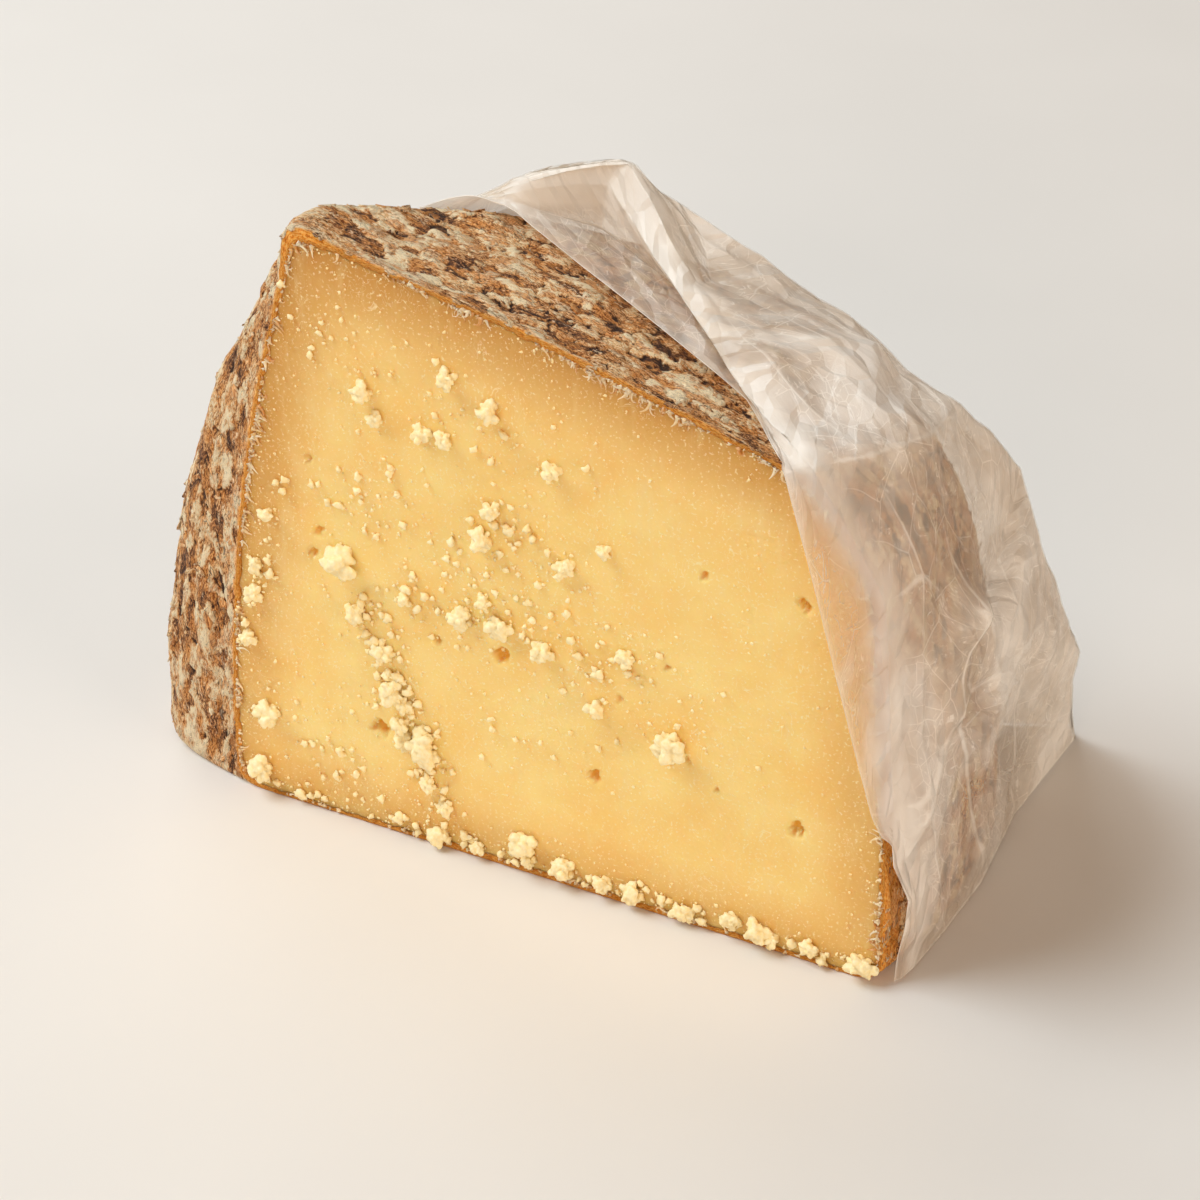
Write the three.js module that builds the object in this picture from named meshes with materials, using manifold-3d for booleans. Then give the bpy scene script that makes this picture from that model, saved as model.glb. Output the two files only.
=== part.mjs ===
// A chunk of hard mountain cheese: one flat cut face in front, barky rind on its other sides,
// crumbs on the cut face, and a stiff sheet of waxed paper drawn round its right end and back.
// Millimetres, +Z up. The shapes are worked out with X along the cut face from its lower left
// corner, Y into the cheese and Z up; the group then moves them to the middle of the whole.
import * as THREE from 'three';
import Module from 'manifold-3d';
import { mergeVertices } from 'three/addons/utils/BufferGeometryUtils.js';

// ---------------------------------------------------------------- driving dimensions
const FACE_HEIGHT = 105.8; // cut face, at its high left edge
const AXIS_X = 58; // upright axis in the cut face from which the wall's radius is measured
const AXIS_Z = 45; // height of the point on it that sees the whole skin
const TOP_START = 17.7; // the top begins to fall right of this X
const TOP_SLOPE = 0.155;
const TOP_CURVE = 0.0011;
const TOP_BACK_DROP = 2; // fall of the top towards the back, at 40 mm depth
const WALL_LEAN_POWER = 2; // the wall is steep at the foot and leans in towards the top
const ROUND_TOP = 2.5;
const ROUND_CORNER = 17; // worn top edge at the low right end
const ROUND_BASE = 5;

// Outline of the wall seen from above, from the right end of the cut face round to the left end.
const BELLY_PLAN = [
  [115, 0], [118, 10], [119.5, 28], [118, 45], [108, 56], [88, 59], [60, 57],
  [28, 51], [2, 43], [-14, 32], [-22, 20], [-20.5, 10.5], [-14.5, 3.8], [0, 0],
];
const TOP_PLAN = [
  [104.4, 0], [105.5, 14], [101.5, 25], [92.5, 32.5], [79, 37], [62, 37],
  [45, 31], [28, 21], [18, 12], [16.2, 4.5], [17.7, 0],
];

const RIND_RELIEF = 1.7; // depth of the grooves between the bark ridges
const RIND_GRAIN_ALONG = 11; // the ridges run along the cut edge
const RIND_GRAIN_ACROSS = 4;
const SKIN_STEPS_ROUND = 104;
const SKIN_STEPS_BACK = 24;

// Crumbs on the cut face: [x, z, size]. The largest stand alone, the others come in drifts.
const LARGE_CRUMBS = [
  [23, 51, 6.6], [44, 47, 4.4], [50.5, 47, 4.6], [79.5, 34, 6], [36.5, 20.5, 6],
  [48, 62, 4.6], [7.5, 17, 5.2], [5.5, 5, 5.2], [94.5, 3.6, 5.2], [112, 2.2, 5],
  [54, 6.5, 5.2], [28.4, 82.2, 4.2], [42.7, 88, 3.7], [49.6, 84.2, 4.1], [59.7, 76.8, 3.7],
  [38.3, 77.6, 3.7], [61.7, 61, 3.7], [58.3, 44.7, 3.7], [66.7, 36.8, 3.7], [24.8, 42, 4.1],
];
// Drifts: from [x, z] to [x, z], how many, size, and how far they stray from the line.
const CRUMB_DRIFTS = [
  { from: [29, 37], to: [38, 8], count: 9, size: 4, stray: 2.2 },
  { from: [24, 80], to: [74, 66], count: 4, size: 3, stray: 5 },
  { from: [30, 45], to: [76, 50], count: 4, size: 3.4, stray: 4 },
  { from: [10, 60], to: [3, 26], count: 4, size: 3.4, stray: 1 },
  { from: [36, 3], to: [106, 3], count: 10, size: 3.8, stray: 0.8 },
];
const CRUMB_PROUD = 0.3; // share of its size by which a crumb's middle stands off the face
const FINE_LUMP = 4.3; // a lump larger than this has 80 sides instead of 20
// Small eyes in the paste: [x, z, size].
const EYES = [
  [66.2, 23.5, 3], [100, 24.7, 3.4], [50.6, 41.2, 3.6], [83.7, 65.5, 1.9], [28.2, 20.4, 4],
];

const PAPER_THICKNESS = 0.5;
const PAPER_CLEARANCE = 1.5; // from the cheese to the middle of the sheet
const PAPER_FOOT = 0.4;
const CRUMPLE = 0.8;
const SHEET_STEPS_ALONG = 4; // between two stations
const SHEET_STEPS_ACROSS = 3; // between two fold lines

// Fold lines of the sheet, each through the same ten stations: the loose end behind the top edge,
// the peak at the third, the top corner of the cut face at the sixth and the foot at the last.
const HEM = [
  [25, 24.5, 100.5], [38.2, 27, 102.6], [54.5, 20, 98.8], [73, 13, 94.4], [86, 8, 90.5],
  [96, -1.6, 87], [103.7, -1.6, 61.5], [112, -1.7, 33], [117.6, 1, 17], [116.6, 1, PAPER_FOOT],
];
const TUCK = [
  [24.8, 25.2, 99.6], [38.1, 28, 103], [51.3, 32.5, 98], [69, 25.5, 95], [85.8, 9.5, 90.4],
  [97.5, -1.6, 87.6], [107.5, -1.6, 65], [113.2, -1.7, 33.4], [117.8, 1.8, 16.4],
  [117.4, 2.2, PAPER_FOOT],
];
const PLEAT = [
  [24.6, 25.8, 98.8], [38.1, 28.6, 103.8], [53.5, 30, 107.2], [72.2, 15, 100.9], [85.6, 8, 92],
  [100.2, -1.8, 88.6], [112, -1.6, 70], [115.2, -1.4, 34.4], [118.2, 3.4, 15.6],
  [118.2, 5.5, PAPER_FOOT],
];
const SLOPE = [
  [24.4, 26.3, 98], [38.2, 29.2, 104.7], [57.2, 29.5, 111.6], [73.9, 18, 101.9], [88.6, 11, 94.3],
  [105.5, 5, 87.8], [115.2, 4, 72.5], [118.4, 3, 37], [119.2, 9, 17], [119.4, 15, PAPER_FOOT],
];
const SIDE_CREASE = [
  [24.2, 26.8, 97.2], [38, 29.8, 105.3], [57.7, 31.5, 110.2], [73.8, 24, 100.5], [94.5, 21, 94.6],
  [109.6, 16, 86.2], [118.8, 12, 62.9], [119.6, 9, 48.2], [120, 20, 24.8], [120.6, 29, PAPER_FOOT],
];
const REAR_CREASE = [
  [24, 27.3, 96.4], [37.9, 30.4, 105.4], [56.9, 32.5, 109.6], [69.7, 30, 103], [91.9, 29, 93.6],
  [109.2, 29, 83.5], [119.5, 26, 63.3], [123.2, 30, 47.7], [120.6, 44, 13], [119.6, 48, PAPER_FOOT],
];
const CREST = [
  [23.8, 27.8, 95.6], [37.6, 31, 105.2], [53, 31, 110.5], [66.6, 33, 105], [85.1, 34, 96],
  [108.3, 34, 81.8], [117.6, 38, 71.7], [122.5, 48, 45.3], [123.2, 60, 26.2], [122, 72, PAPER_FOOT],
];
// Behind the crest the sheet bends over the cheese's back edge and falls to a foot behind it.
const BACK_BEND = [
  [23.5, 29, 93], [35.5, 35, 98.5], [50, 38.5, 100], [63, 41, 97.5], [83, 40.5, 91],
  [105.5, 39.5, 77], [115.5, 46, 64], [120.5, 56, 38], [121, 68, 18], [121.6, 73.4, PAPER_FOOT],
];
const BACK_FOOT = [
  [14, 51, PAPER_FOOT], [28, 56, PAPER_FOOT], [44, 60, PAPER_FOOT], [60, 62.5, PAPER_FOOT],
  [76, 64, PAPER_FOOT], [89, 65, PAPER_FOOT], [100, 67.5, PAPER_FOOT], [109, 71, PAPER_FOOT],
  [116, 74, PAPER_FOOT], [120, 75.5, PAPER_FOOT],
];
const FOLD_LINES = [
  HEM, TUCK, PLEAT, SLOPE, SIDE_CREASE, REAR_CREASE, CREST, BACK_BEND, BACK_FOOT,
];
const BACK_PANEL_STEPS = 12;
const ROUNDED_SHARE = 0.6; // 0 gives straight folds between stations, 1 smooth ones

const WHOLE_MIDDLE_X = 51.2; // middle of cheese and paper together, seen from above
const WHOLE_MIDDLE_Y = 35.3;

// ---------------------------------------------------------------- numbers and noise
const lerp = THREE.MathUtils.lerp;
const smoothstep = THREE.MathUtils.smoothstep;

function seededRandom(seed) {
  let state = seed >>> 0;
  return () => {
    state = (state + 0x6d2b79f5) >>> 0;
    let t = Math.imul(state ^ (state >>> 15), state | 1);
    t ^= t + Math.imul(t ^ (t >>> 7), t | 61);
    return ((t ^ (t >>> 14)) >>> 0) / 4294967296;
  };
}

function latticeValue(i, j, k) {
  let h = Math.imul(i, 374761393) ^ Math.imul(j, 668265263) ^ Math.imul(k, 2147483647);
  h = Math.imul(h ^ (h >>> 13), 1274126177);
  return ((h ^ (h >>> 16)) >>> 0) / 4294967296;
}

// Smooth value noise from 0 to 1.
function noise(x, y, z) {
  const cell = [Math.floor(x), Math.floor(y), Math.floor(z)];
  const [u, v, w] = [x - cell[0], y - cell[1], z - cell[2]].map((t) => t * t * (3 - 2 * t));
  const corner = (a, b, c) => latticeValue(cell[0] + a, cell[1] + b, cell[2] + c);
  const edge = (b, c) => lerp(corner(0, b, c), corner(1, b, c), u);
  return lerp(lerp(edge(0, 0), edge(1, 0), v), lerp(edge(0, 1), edge(1, 1), v), w);
}

function smoothMax(a, b, width) {
  const h = Math.max(width - Math.abs(a - b), 0) / width;
  return Math.max(a, b) + (h * h * width) / 4;
}

// ---------------------------------------------------------------- the cheese's form
// The plan points as angle and radius round the axis, with the slope of a smooth curve through them.
function polarPlan(points) {
  const knots = points.map(([x, y]) => ({
    angle: Math.atan2(y, x - AXIS_X),
    radius: Math.hypot(x - AXIS_X, y),
  }));
  knots.forEach((knot, i) => {
    const before = knots[Math.max(i - 1, 0)];
    const after = knots[Math.min(i + 1, knots.length - 1)];
    knot.slope = (after.radius - before.radius) / (after.angle - before.angle);
  });
  return knots;
}

const BELLY = polarPlan(BELLY_PLAN);
const TOP = polarPlan(TOP_PLAN);

function planRadius(knots, angle) {
  const clamped = THREE.MathUtils.clamp(angle, 0, Math.PI);
  const i = Math.max(knots.findIndex((knot) => knot.angle >= clamped - 1e-9), 1);
  const [a, b] = [knots[i - 1], knots[i]];
  const span = b.angle - a.angle;
  const t = (clamped - a.angle) / span;
  const hermite = [
    (1 + 2 * t) * (1 - t) * (1 - t),
    t * (1 - t) * (1 - t) * span,
    t * t * (3 - 2 * t),
    t * t * (t - 1) * span,
  ];
  return hermite[0] * a.radius + hermite[1] * a.slope + hermite[2] * b.radius + hermite[3] * b.slope;
}

function topHeight(x, y) {
  const d = Math.max(x - TOP_START, 0);
  return FACE_HEIGHT - TOP_SLOPE * d - TOP_CURVE * d * d - TOP_BACK_DROP * (y / 40) ** 2;
}

// Below zero inside the smooth chunk, about the distance in millimetres outside it.
function chunkField(x, y, z) {
  const depth = Math.max(y, 0);
  const angle = Math.atan2(depth, x - AXIS_X);
  const rise = (Math.max(z, 0) / FACE_HEIGHT) ** WALL_LEAN_POWER;
  const radius = lerp(planRadius(BELLY, angle), planRadius(TOP, angle), rise);
  const wall = Math.hypot(x - AXIS_X, depth) - radius;
  const top = z - topHeight(x, depth);
  const edge = lerp(ROUND_TOP, ROUND_CORNER, smoothstep(x, 84, 108));
  return smoothMax(smoothMax(wall, top, edge), -z, ROUND_BASE);
}

function outwardAt(point) {
  const step = 0.2;
  const at = (dx, dy, dz) => chunkField(point.x + dx, point.y + dy, point.z + dz);
  return new THREE.Vector3(
    at(step, 0, 0) - at(-step, 0, 0),
    at(0, step, 0) - at(0, -step, 0),
    at(0, 0, step) - at(0, 0, -step),
  ).normalize();
}

// The skin point seen from the middle of the cut face, at an angle round and an angle back.
function skinPoint(round, back) {
  const ray = new THREE.Vector3(
    Math.cos(round) * Math.cos(back),
    Math.sin(back),
    Math.sin(round) * Math.cos(back),
  );
  let near = 0;
  let far = 160;
  for (let i = 0; i < 40; i += 1) {
    const middle = (near + far) / 2;
    const inside = chunkField(AXIS_X + ray.x * middle, ray.y * middle, AXIS_Z + ray.z * middle) < 0;
    if (inside) near = middle;
    else far = middle;
  }
  return new THREE.Vector3(AXIS_X, 0, AXIS_Z).addScaledVector(ray, near);
}

// Angles that cut the edge of the cut face into equal lengths.
function evenAngles(count) {
  const samples = 1440;
  const lengths = [0];
  let previous = skinPoint(0, 0);
  for (let i = 1; i <= samples; i += 1) {
    const next = skinPoint((i / samples) * 2 * Math.PI, 0);
    lengths.push(lengths[i - 1] + next.distanceTo(previous));
    previous = next;
  }
  const angles = [];
  for (let i = 0; i < count; i += 1) {
    const target = (i / count) * lengths[samples];
    const at = lengths.findIndex((length) => length >= target);
    angles.push((at / samples) * 2 * Math.PI);
  }
  return { angles, perimeter: lengths[samples] };
}

// Bark: ridges along the cut edge with grooves between them, fading out on the flat base and
// where the mesh closes in the middle of the back.
function rindRelief(along, back, backAngle, point) {
  const ridges = noise(along / RIND_GRAIN_ALONG, back / RIND_GRAIN_ACROSS, 3.5);
  const flakes = noise(along / 5, back / 5, 9.5);
  const groove = 1 - Math.abs(2 * ridges - 1);
  const depth = RIND_RELIEF * (0.65 * groove ** 2 + 0.35 * flakes);
  const offBase = smoothstep(point.z, 0.5, 5);
  const offCut = lerp(0.35, 1, smoothstep(back, 0, 4));
  const offPole = 1 - smoothstep(backAngle, 1.2, 1.5);
  return depth * offBase * offCut * offPole;
}

function chunkGeometry() {
  const { angles, perimeter } = evenAngles(SKIN_STEPS_ROUND);
  const rows = SKIN_STEPS_BACK;
  const columns = angles.length;
  const positions = [AXIS_X, 0, AXIS_Z];
  const lengthsBack = new Array(columns).fill(0);
  const smoothPoints = angles.map((angle) => skinPoint(angle, 0));
  for (let row = 0; row < rows; row += 1) {
    const back = (row / rows) * (Math.PI / 2);
    for (let column = 0; column < columns; column += 1) {
      const point = skinPoint(angles[column], back);
      lengthsBack[column] += point.distanceTo(smoothPoints[column]);
      smoothPoints[column] = point.clone();
      const along = (column / columns) * perimeter;
      const relief = rindRelief(along, lengthsBack[column], back, point);
      point.addScaledVector(outwardAt(point), -relief);
      positions.push(point.x, row === 0 ? 0 : Math.max(point.y, 0), point.z < 0.02 ? 0 : point.z);
    }
  }
  const pole = skinPoint(0, Math.PI / 2);
  positions.push(pole.x, pole.y, pole.z);
  const poleIndex = positions.length / 3 - 1;
  const at = (row, column) => 1 + row * columns + (column % columns);
  const triangles = [];
  for (let column = 0; column < columns; column += 1) {
    triangles.push(0, at(0, column), at(0, column + 1));
    for (let row = 0; row < rows - 1; row += 1) {
      const [a, b] = [at(row, column), at(row, column + 1)];
      const [c, d] = [at(row + 1, column), at(row + 1, column + 1)];
      triangles.push(a, c, b, b, c, d);
    }
    triangles.push(at(rows - 1, column), poleIndex, at(rows - 1, column + 1));
  }
  return indexedGeometry(positions, triangles);
}

// ---------------------------------------------------------------- crumbs and eyes
// A lumpy pebble with few sides, flattened a little against the face.
function lumpGeometry(x, z, size, proud, seed) {
  const lump = new THREE.IcosahedronGeometry(size / 2, size > FINE_LUMP ? 1 : 0);
  lump.deleteAttribute('normal');
  lump.deleteAttribute('uv');
  const geometry = mergeVertices(lump, 1e-4);
  const vertex = new THREE.Vector3();
  const position = geometry.attributes.position;
  for (let i = 0; i < position.count; i += 1) {
    vertex.fromBufferAttribute(position, i);
    const bump = noise(vertex.x / 1.4 + seed, vertex.y / 1.4, vertex.z / 1.4 + seed * 3);
    vertex.multiplyScalar(0.72 + 0.56 * bump);
    position.setXYZ(i, vertex.x + x, vertex.y * 0.85 - proud, vertex.z + z);
  }
  return geometry;
}

function crumbPlaces() {
  const random = seededRandom(11);
  const places = LARGE_CRUMBS.map(([x, z, size]) => ({ x, z, size }));
  CRUMB_DRIFTS.forEach(({ from, to, count, size, stray }) => {
    for (let i = 0; i < count; i += 1) {
      const t = (i + 0.2 + 0.6 * random()) / count;
      places.push({
        x: lerp(from[0], to[0], t) + stray * (2 * random() - 1),
        z: Math.max(lerp(from[1], to[1], t) + stray * (2 * random() - 1), size / 2),
        size: size * (0.8 + 0.4 * random()),
      });
    }
  });
  return places;
}

// ---------------------------------------------------------------- joining and cutting
const wasm = await Module();
wasm.setup();

function indexedGeometry(positions, triangles) {
  const geometry = new THREE.BufferGeometry();
  geometry.setAttribute('position', new THREE.Float32BufferAttribute(positions, 3));
  geometry.setIndex(triangles);
  return geometry;
}

function toSolid(geometry) {
  return new wasm.Manifold(new wasm.Mesh({
    numProp: 3,
    vertProperties: new Float32Array(geometry.attributes.position.array),
    triVerts: new Uint32Array(geometry.index.array),
  }));
}

function fromSolid(solid) {
  const mesh = solid.getMesh();
  return indexedGeometry(Array.from(mesh.vertProperties), Array.from(mesh.triVerts));
}

function cheeseGeometry() {
  let solid = toSolid(chunkGeometry());
  EYES.forEach(([x, z, size], i) => {
    solid = solid.subtract(toSolid(lumpGeometry(x, z, size, 0, 40 + i)));
  });
  crumbPlaces().forEach(({ x, z, size }, i) => {
    const lump = lumpGeometry(x, Math.max(z, size * 0.62), size, size * CRUMB_PROUD, i);
    solid = solid.add(toSolid(lump));
  });
  return fromSolid(solid);
}

// ---------------------------------------------------------------- the paper
// A fold line at a place between two stations, straight and smooth forms mixed.
function foldPoint(line, station) {
  const i = Math.min(Math.floor(station), line.length - 2);
  const t = station - i;
  const knot = (n) => line[THREE.MathUtils.clamp(n, 0, line.length - 1)];
  const [p, a, b, q] = [knot(i - 1), knot(i), knot(i + 1), knot(i + 2)];
  const coordinate = (n) => {
    const straight = lerp(a[n], b[n], t);
    const square = 2 * p[n] - 5 * a[n] + 4 * b[n] - q[n];
    const cube = 3 * a[n] - p[n] - 3 * b[n] + q[n];
    const smooth = a[n] + 0.5 * t * (b[n] - p[n] + t * (square + t * cube));
    return lerp(straight, smooth, ROUNDED_SHARE);
  };
  return new THREE.Vector3(coordinate(0), coordinate(1), coordinate(2));
}

// The sheet's point kept clear of the cheese.
function clearOfCheese(point) {
  for (let i = 0; i < 8; i += 1) {
    const distance = Math.max(chunkField(point.x, point.y, point.z), -point.y);
    if (distance >= PAPER_CLEARANCE) break;
    point.addScaledVector(outwardAt(point), PAPER_CLEARANCE - distance);
  }
  return point;
}

function sheetPoints() {
  const stationSteps = (HEM.length - 1) * SHEET_STEPS_ALONG;
  const lines = FOLD_LINES.length - 1;
  const across = [];
  for (let line = 0; line < lines; line += 1) {
    const steps = line === lines - 1 ? BACK_PANEL_STEPS : SHEET_STEPS_ACROSS;
    for (let i = 0; i < steps; i += 1) across.push(line + i / steps);
  }
  across.push(lines);
  const rows = [];
  for (let i = 0; i <= stationSteps; i += 1) {
    const station = i / SHEET_STEPS_ALONG;
    rows.push(across.map((t) => {
      const line = Math.min(Math.floor(t), lines - 1);
      const [a, b] = [foldPoint(FOLD_LINES[line], station), foldPoint(FOLD_LINES[line + 1], station)];
      const point = a.lerp(b, t - line);
      const offFloor = smoothstep(point.z, 1, 12);
      const crumple = noise(point.x / 9, point.y / 9, point.z / 9) - 0.5;
      const push = offFloor * CRUMPLE * 2 * crumple;
      point.addScaledVector(outwardAt(point), point.y < 0 ? 0 : push);
      return clearOfCheese(point);
    }));
  }
  return rows;
}

// A thin closed shell on both sides of the sheet, both faces split into triangles alike.
function paperGeometry() {
  const rows = sheetPoints();
  const [height, width] = [rows.length, rows[0].length];
  const clamp = THREE.MathUtils.clamp;
  const at = (i, j) => rows[clamp(i, 0, height - 1)][clamp(j, 0, width - 1)];
  const positions = [];
  [0.5, -0.5].forEach((side) => {
    for (let i = 0; i < height; i += 1) {
      for (let j = 0; j < width; j += 1) {
        const alongSheet = at(i + 1, j).clone().sub(at(i - 1, j));
        const acrossSheet = at(i, j + 1).clone().sub(at(i, j - 1));
        const normal = acrossSheet.cross(alongSheet).normalize();
        const point = at(i, j).clone().addScaledVector(normal, side * PAPER_THICKNESS);
        positions.push(point.x, point.y, Math.max(point.z, 0));
      }
    }
  });
  const outer = (i, j) => i * width + j;
  const inner = (i, j) => height * width + i * width + j;
  const triangles = [];
  const quad = (a, b, c, d) => triangles.push(a, b, c, a, c, d);
  for (let i = 0; i < height - 1; i += 1) {
    for (let j = 0; j < width - 1; j += 1) {
      quad(outer(i, j), outer(i, j + 1), outer(i + 1, j + 1), outer(i + 1, j));
      triangles.push(inner(i, j), inner(i + 1, j + 1), inner(i, j + 1));
      triangles.push(inner(i, j), inner(i + 1, j), inner(i + 1, j + 1));
    }
    quad(outer(i, 0), outer(i + 1, 0), inner(i + 1, 0), inner(i, 0));
    quad(outer(i + 1, width - 1), outer(i, width - 1), inner(i, width - 1), inner(i + 1, width - 1));
  }
  for (let j = 0; j < width - 1; j += 1) {
    quad(outer(0, j + 1), outer(0, j), inner(0, j), inner(0, j + 1));
    quad(outer(height - 1, j), outer(height - 1, j + 1), inner(height - 1, j + 1), inner(height - 1, j));
  }
  return indexedGeometry(positions, triangles);
}

// ---------------------------------------------------------------- the whole
function piece(name, geometry, material) {
  geometry.computeVertexNormals();
  const mesh = new THREE.Mesh(geometry, new THREE.MeshStandardMaterial(material));
  mesh.name = name;
  return mesh;
}

const chunk = new THREE.Group();
chunk.add(piece('cheese', cheeseGeometry(), { color: 0xe9c67c, roughness: 0.55, metalness: 0 }));
chunk.add(piece('wrapper', paperGeometry(), { color: 0xe3d6c4, roughness: 0.4, metalness: 0 }));

chunk.position.set(-WHOLE_MIDDLE_X, -WHOLE_MIDDLE_Y, 0);
chunk.updateMatrixWorld(true);

export default chunk;
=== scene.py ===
"""A chunk of hard cheese with barky rind, crumbs on its cut face, partly wrapped in waxed paper.

Shapes are worked out in millimetres with X along the cut face from its lower left corner, Y into
the cheese and Z up, then moved into the frame, which is in metres.
"""
import math

import bmesh
import bpy
import numpy as np
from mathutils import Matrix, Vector


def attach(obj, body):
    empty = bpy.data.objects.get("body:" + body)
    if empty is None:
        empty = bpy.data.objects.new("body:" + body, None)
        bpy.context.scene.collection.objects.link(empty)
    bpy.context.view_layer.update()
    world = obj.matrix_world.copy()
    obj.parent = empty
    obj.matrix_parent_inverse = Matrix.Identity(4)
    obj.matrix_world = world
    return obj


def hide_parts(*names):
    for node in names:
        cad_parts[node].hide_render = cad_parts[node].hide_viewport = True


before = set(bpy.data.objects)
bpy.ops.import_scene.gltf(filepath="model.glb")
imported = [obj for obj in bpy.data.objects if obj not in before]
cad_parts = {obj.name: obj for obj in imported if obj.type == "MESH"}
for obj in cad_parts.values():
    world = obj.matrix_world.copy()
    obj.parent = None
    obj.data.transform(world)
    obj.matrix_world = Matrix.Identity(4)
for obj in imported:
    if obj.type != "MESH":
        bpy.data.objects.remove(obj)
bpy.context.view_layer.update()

# ------------------------------------------------------------------ driving sizes, millimetres
METRES = 0.001
# The point that lies at the origin of the frame.
WHOLE_MIDDLE = np.array([51.2, 35.3, 0.0])

FACE_HEIGHT = 105.8
AXIS_X = 58.0
AXIS_Z = 45.0
FACE_MIDDLE = np.array([AXIS_X, 0, AXIS_Z])
TOP_START = 17.7
TOP_SLOPE = 0.155
TOP_CURVE = 0.0011
TOP_BACK_DROP = 2.0
TOP_BACK_REACH = 40
WALL_LEAN_POWER = 2
ROUND_TOP = 2.5
ROUND_CORNER = 17.0
CORNER_SPAN = (84, 108)
ROUND_BASE = 5.0
# Outlines in plan, at the base and at the top, from the right corner round the back.
BELLY_PLAN = [
    (115, 0), (118, 10), (119.5, 28), (118, 45), (108, 56), (88, 59), (60, 57),
    (28, 51), (2, 43), (-14, 32), (-22, 20), (-20.5, 10.5), (-14.5, 3.8), (0, 0),
]
TOP_PLAN = [
    (104.4, 0), (105.5, 14), (101.5, 25), (92.5, 32.5), (79, 37), (62, 37),
    (45, 31), (28, 21), (18, 12), (16.2, 4.5), (17.7, 0),
]
# Corners of the cut face, X and Z: low right, top right, top left, low left.
FACE_CORNERS = [(113.5, 1.5), (101.5, 82), (18.6, 104.6), (1.5, 1.5)]
# No skin lies further than this from the middle of the cut face.
SKIN_LIMIT = 160.0

# Mesh steps: up and along the cut face, and rows near the cut and far behind it.
SIDE_STEPS = 180
LEVEL_STEPS = 200
NEAR_ROWS = 82
NEAR_REACH = 60.0
FAR_ROWS = 34

RIND_RELIEF = 1.7
RIND_GRAIN_ALONG = 11.0
RIND_GRAIN_ACROSS = 4.0
RIND_CUT = 1.0
RIND_BODY = 3.4
PASTE_START = RIND_BODY + 0.2
# How far in the rind and the paste end at the cut, and where rows of the rind's inner side lie.
RIND_EDGE = 1.1
PASTE_EDGE = 1.3
LINING_ROWS = [0.9, 2.5, 7, 16, 30]
FAR_LINING_ROWS = 4
PLATE_RELIEF = 0.75
# Lines of the rim, outer to inner: share of its width, and how far it stands proud.
RIM_LINES = ((0.3, 0.22), (0.7, 0.18), (1.0, 0.0))

# Larger crumbs, each in its own place: x, z, size.
LARGE_CRUMBS = [
    (23, 51, 6.6), (44, 47, 4.4), (50.5, 47, 4.6), (79.5, 34, 6), (36.5, 20.5, 6),
    (48, 62, 4.6), (7.5, 17, 5.2), (5.5, 5, 5.2), (94.5, 3.6, 5.2), (112, 2.2, 5),
    (54, 6.5, 5.2), (28.4, 82.2, 4.2), (42.7, 88, 3.7), (49.6, 84.2, 4.1), (59.7, 76.8, 3.7),
    (38.3, 77.6, 3.7), (61.7, 61, 3.7), (58.3, 44.7, 3.7), (66.7, 36.8, 3.7), (24.8, 42, 4.1),
]
# Drifts of larger crumbs: from, to, how many, size, how far they stray.
CRUMB_DRIFTS = [
    ((29, 37), (38, 8), 9, 4, 2.2),
    ((24, 80), (74, 66), 4, 3, 5),
    ((30, 45), (76, 50), 4, 3.4, 4),
    ((10, 60), (3, 26), 4, 3.4, 1),
    ((36, 3), (106, 3), 10, 3.8, 0.8),
]
CRUMB_PROUD = 0.3
CRUMB_SEED = 11
FINE_SEED = 5
SPECK_SEED = 8
# Drifts of finer crumbs: from, to, how many, least and greatest size, how far they stray.
FINE_DRIFTS = [
    ((27, 44), (40, 6), 130, 0.9, 2.8, 3.6),
    ((20, 92), (66, 74), 60, 0.7, 2.0, 8),
    ((24, 62), (60, 58), 110, 0.7, 2.2, 10),
    ((28, 48), (76, 44), 90, 0.8, 2.4, 7),
    ((2, 26), (14, 66), 40, 0.8, 2.6, 2.5),
    ((4, 3), (110, 3), 120, 0.8, 2.8, 1.6),
    ((6, 20), (24, 8), 40, 0.8, 2.2, 5),
    ((20, 30), (90, 36), 70, 0.7, 1.8, 18),
]
SPECK_COUNT = 2600
SPECK_SIZE = (0.22, 0.95)
# How each kind of crumb is meshed: subdivisions, seed and number of lobes.
LARGE_FORM = (4, 3, 26)
FINE_FORM = (2, 4, 9)
DUST_FORM = (1, 6, 5)
# Small eyes in the paste: x, z, size.
EYES = [
    (66.2, 23.5, 3), (100, 24.7, 3.4), (50.6, 41.2, 3.6), (83.7, 65.5, 1.9), (28.2, 20.4, 4),
    (99.5, 64.8, 2.6), (18.9, 55.1, 2.0), (17.8, 50.8, 2.0), (78.1, 47.6, 1.4), (39.3, 40.7, 1.6),
    (81.9, 31.6, 1.3), (70.5, 39.5, 1.5), (86.5, 27.7, 1.2), (18.2, 67.7, 1.4),
]

# Flakes of rind: how many, how far back, lengths, widths as shares of these, thicknesses.
FLAKE_SEED = 21
FLAKE_COUNT = 2600
FLAKE_REACH = 70
FLAKE_LENGTH = (0.7, 2.6)
FLAKE_WIDTH_SHARE = (0.35, 0.9)
FLAKE_THICKNESS = (0.12, 0.25)
FIBRE_SEED = 33
FIBRE_COUNT = 800
# Least length, and how much longer the longest is.
FIBRE_LENGTH = (0.35, 2.3)
FIBRE_RADIUS = (0.18, 0.55)
FIBRE_PROUD = 0.12
# Flakes and most fibres start above this height.
LOWEST_LOOSE = 1.5

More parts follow.
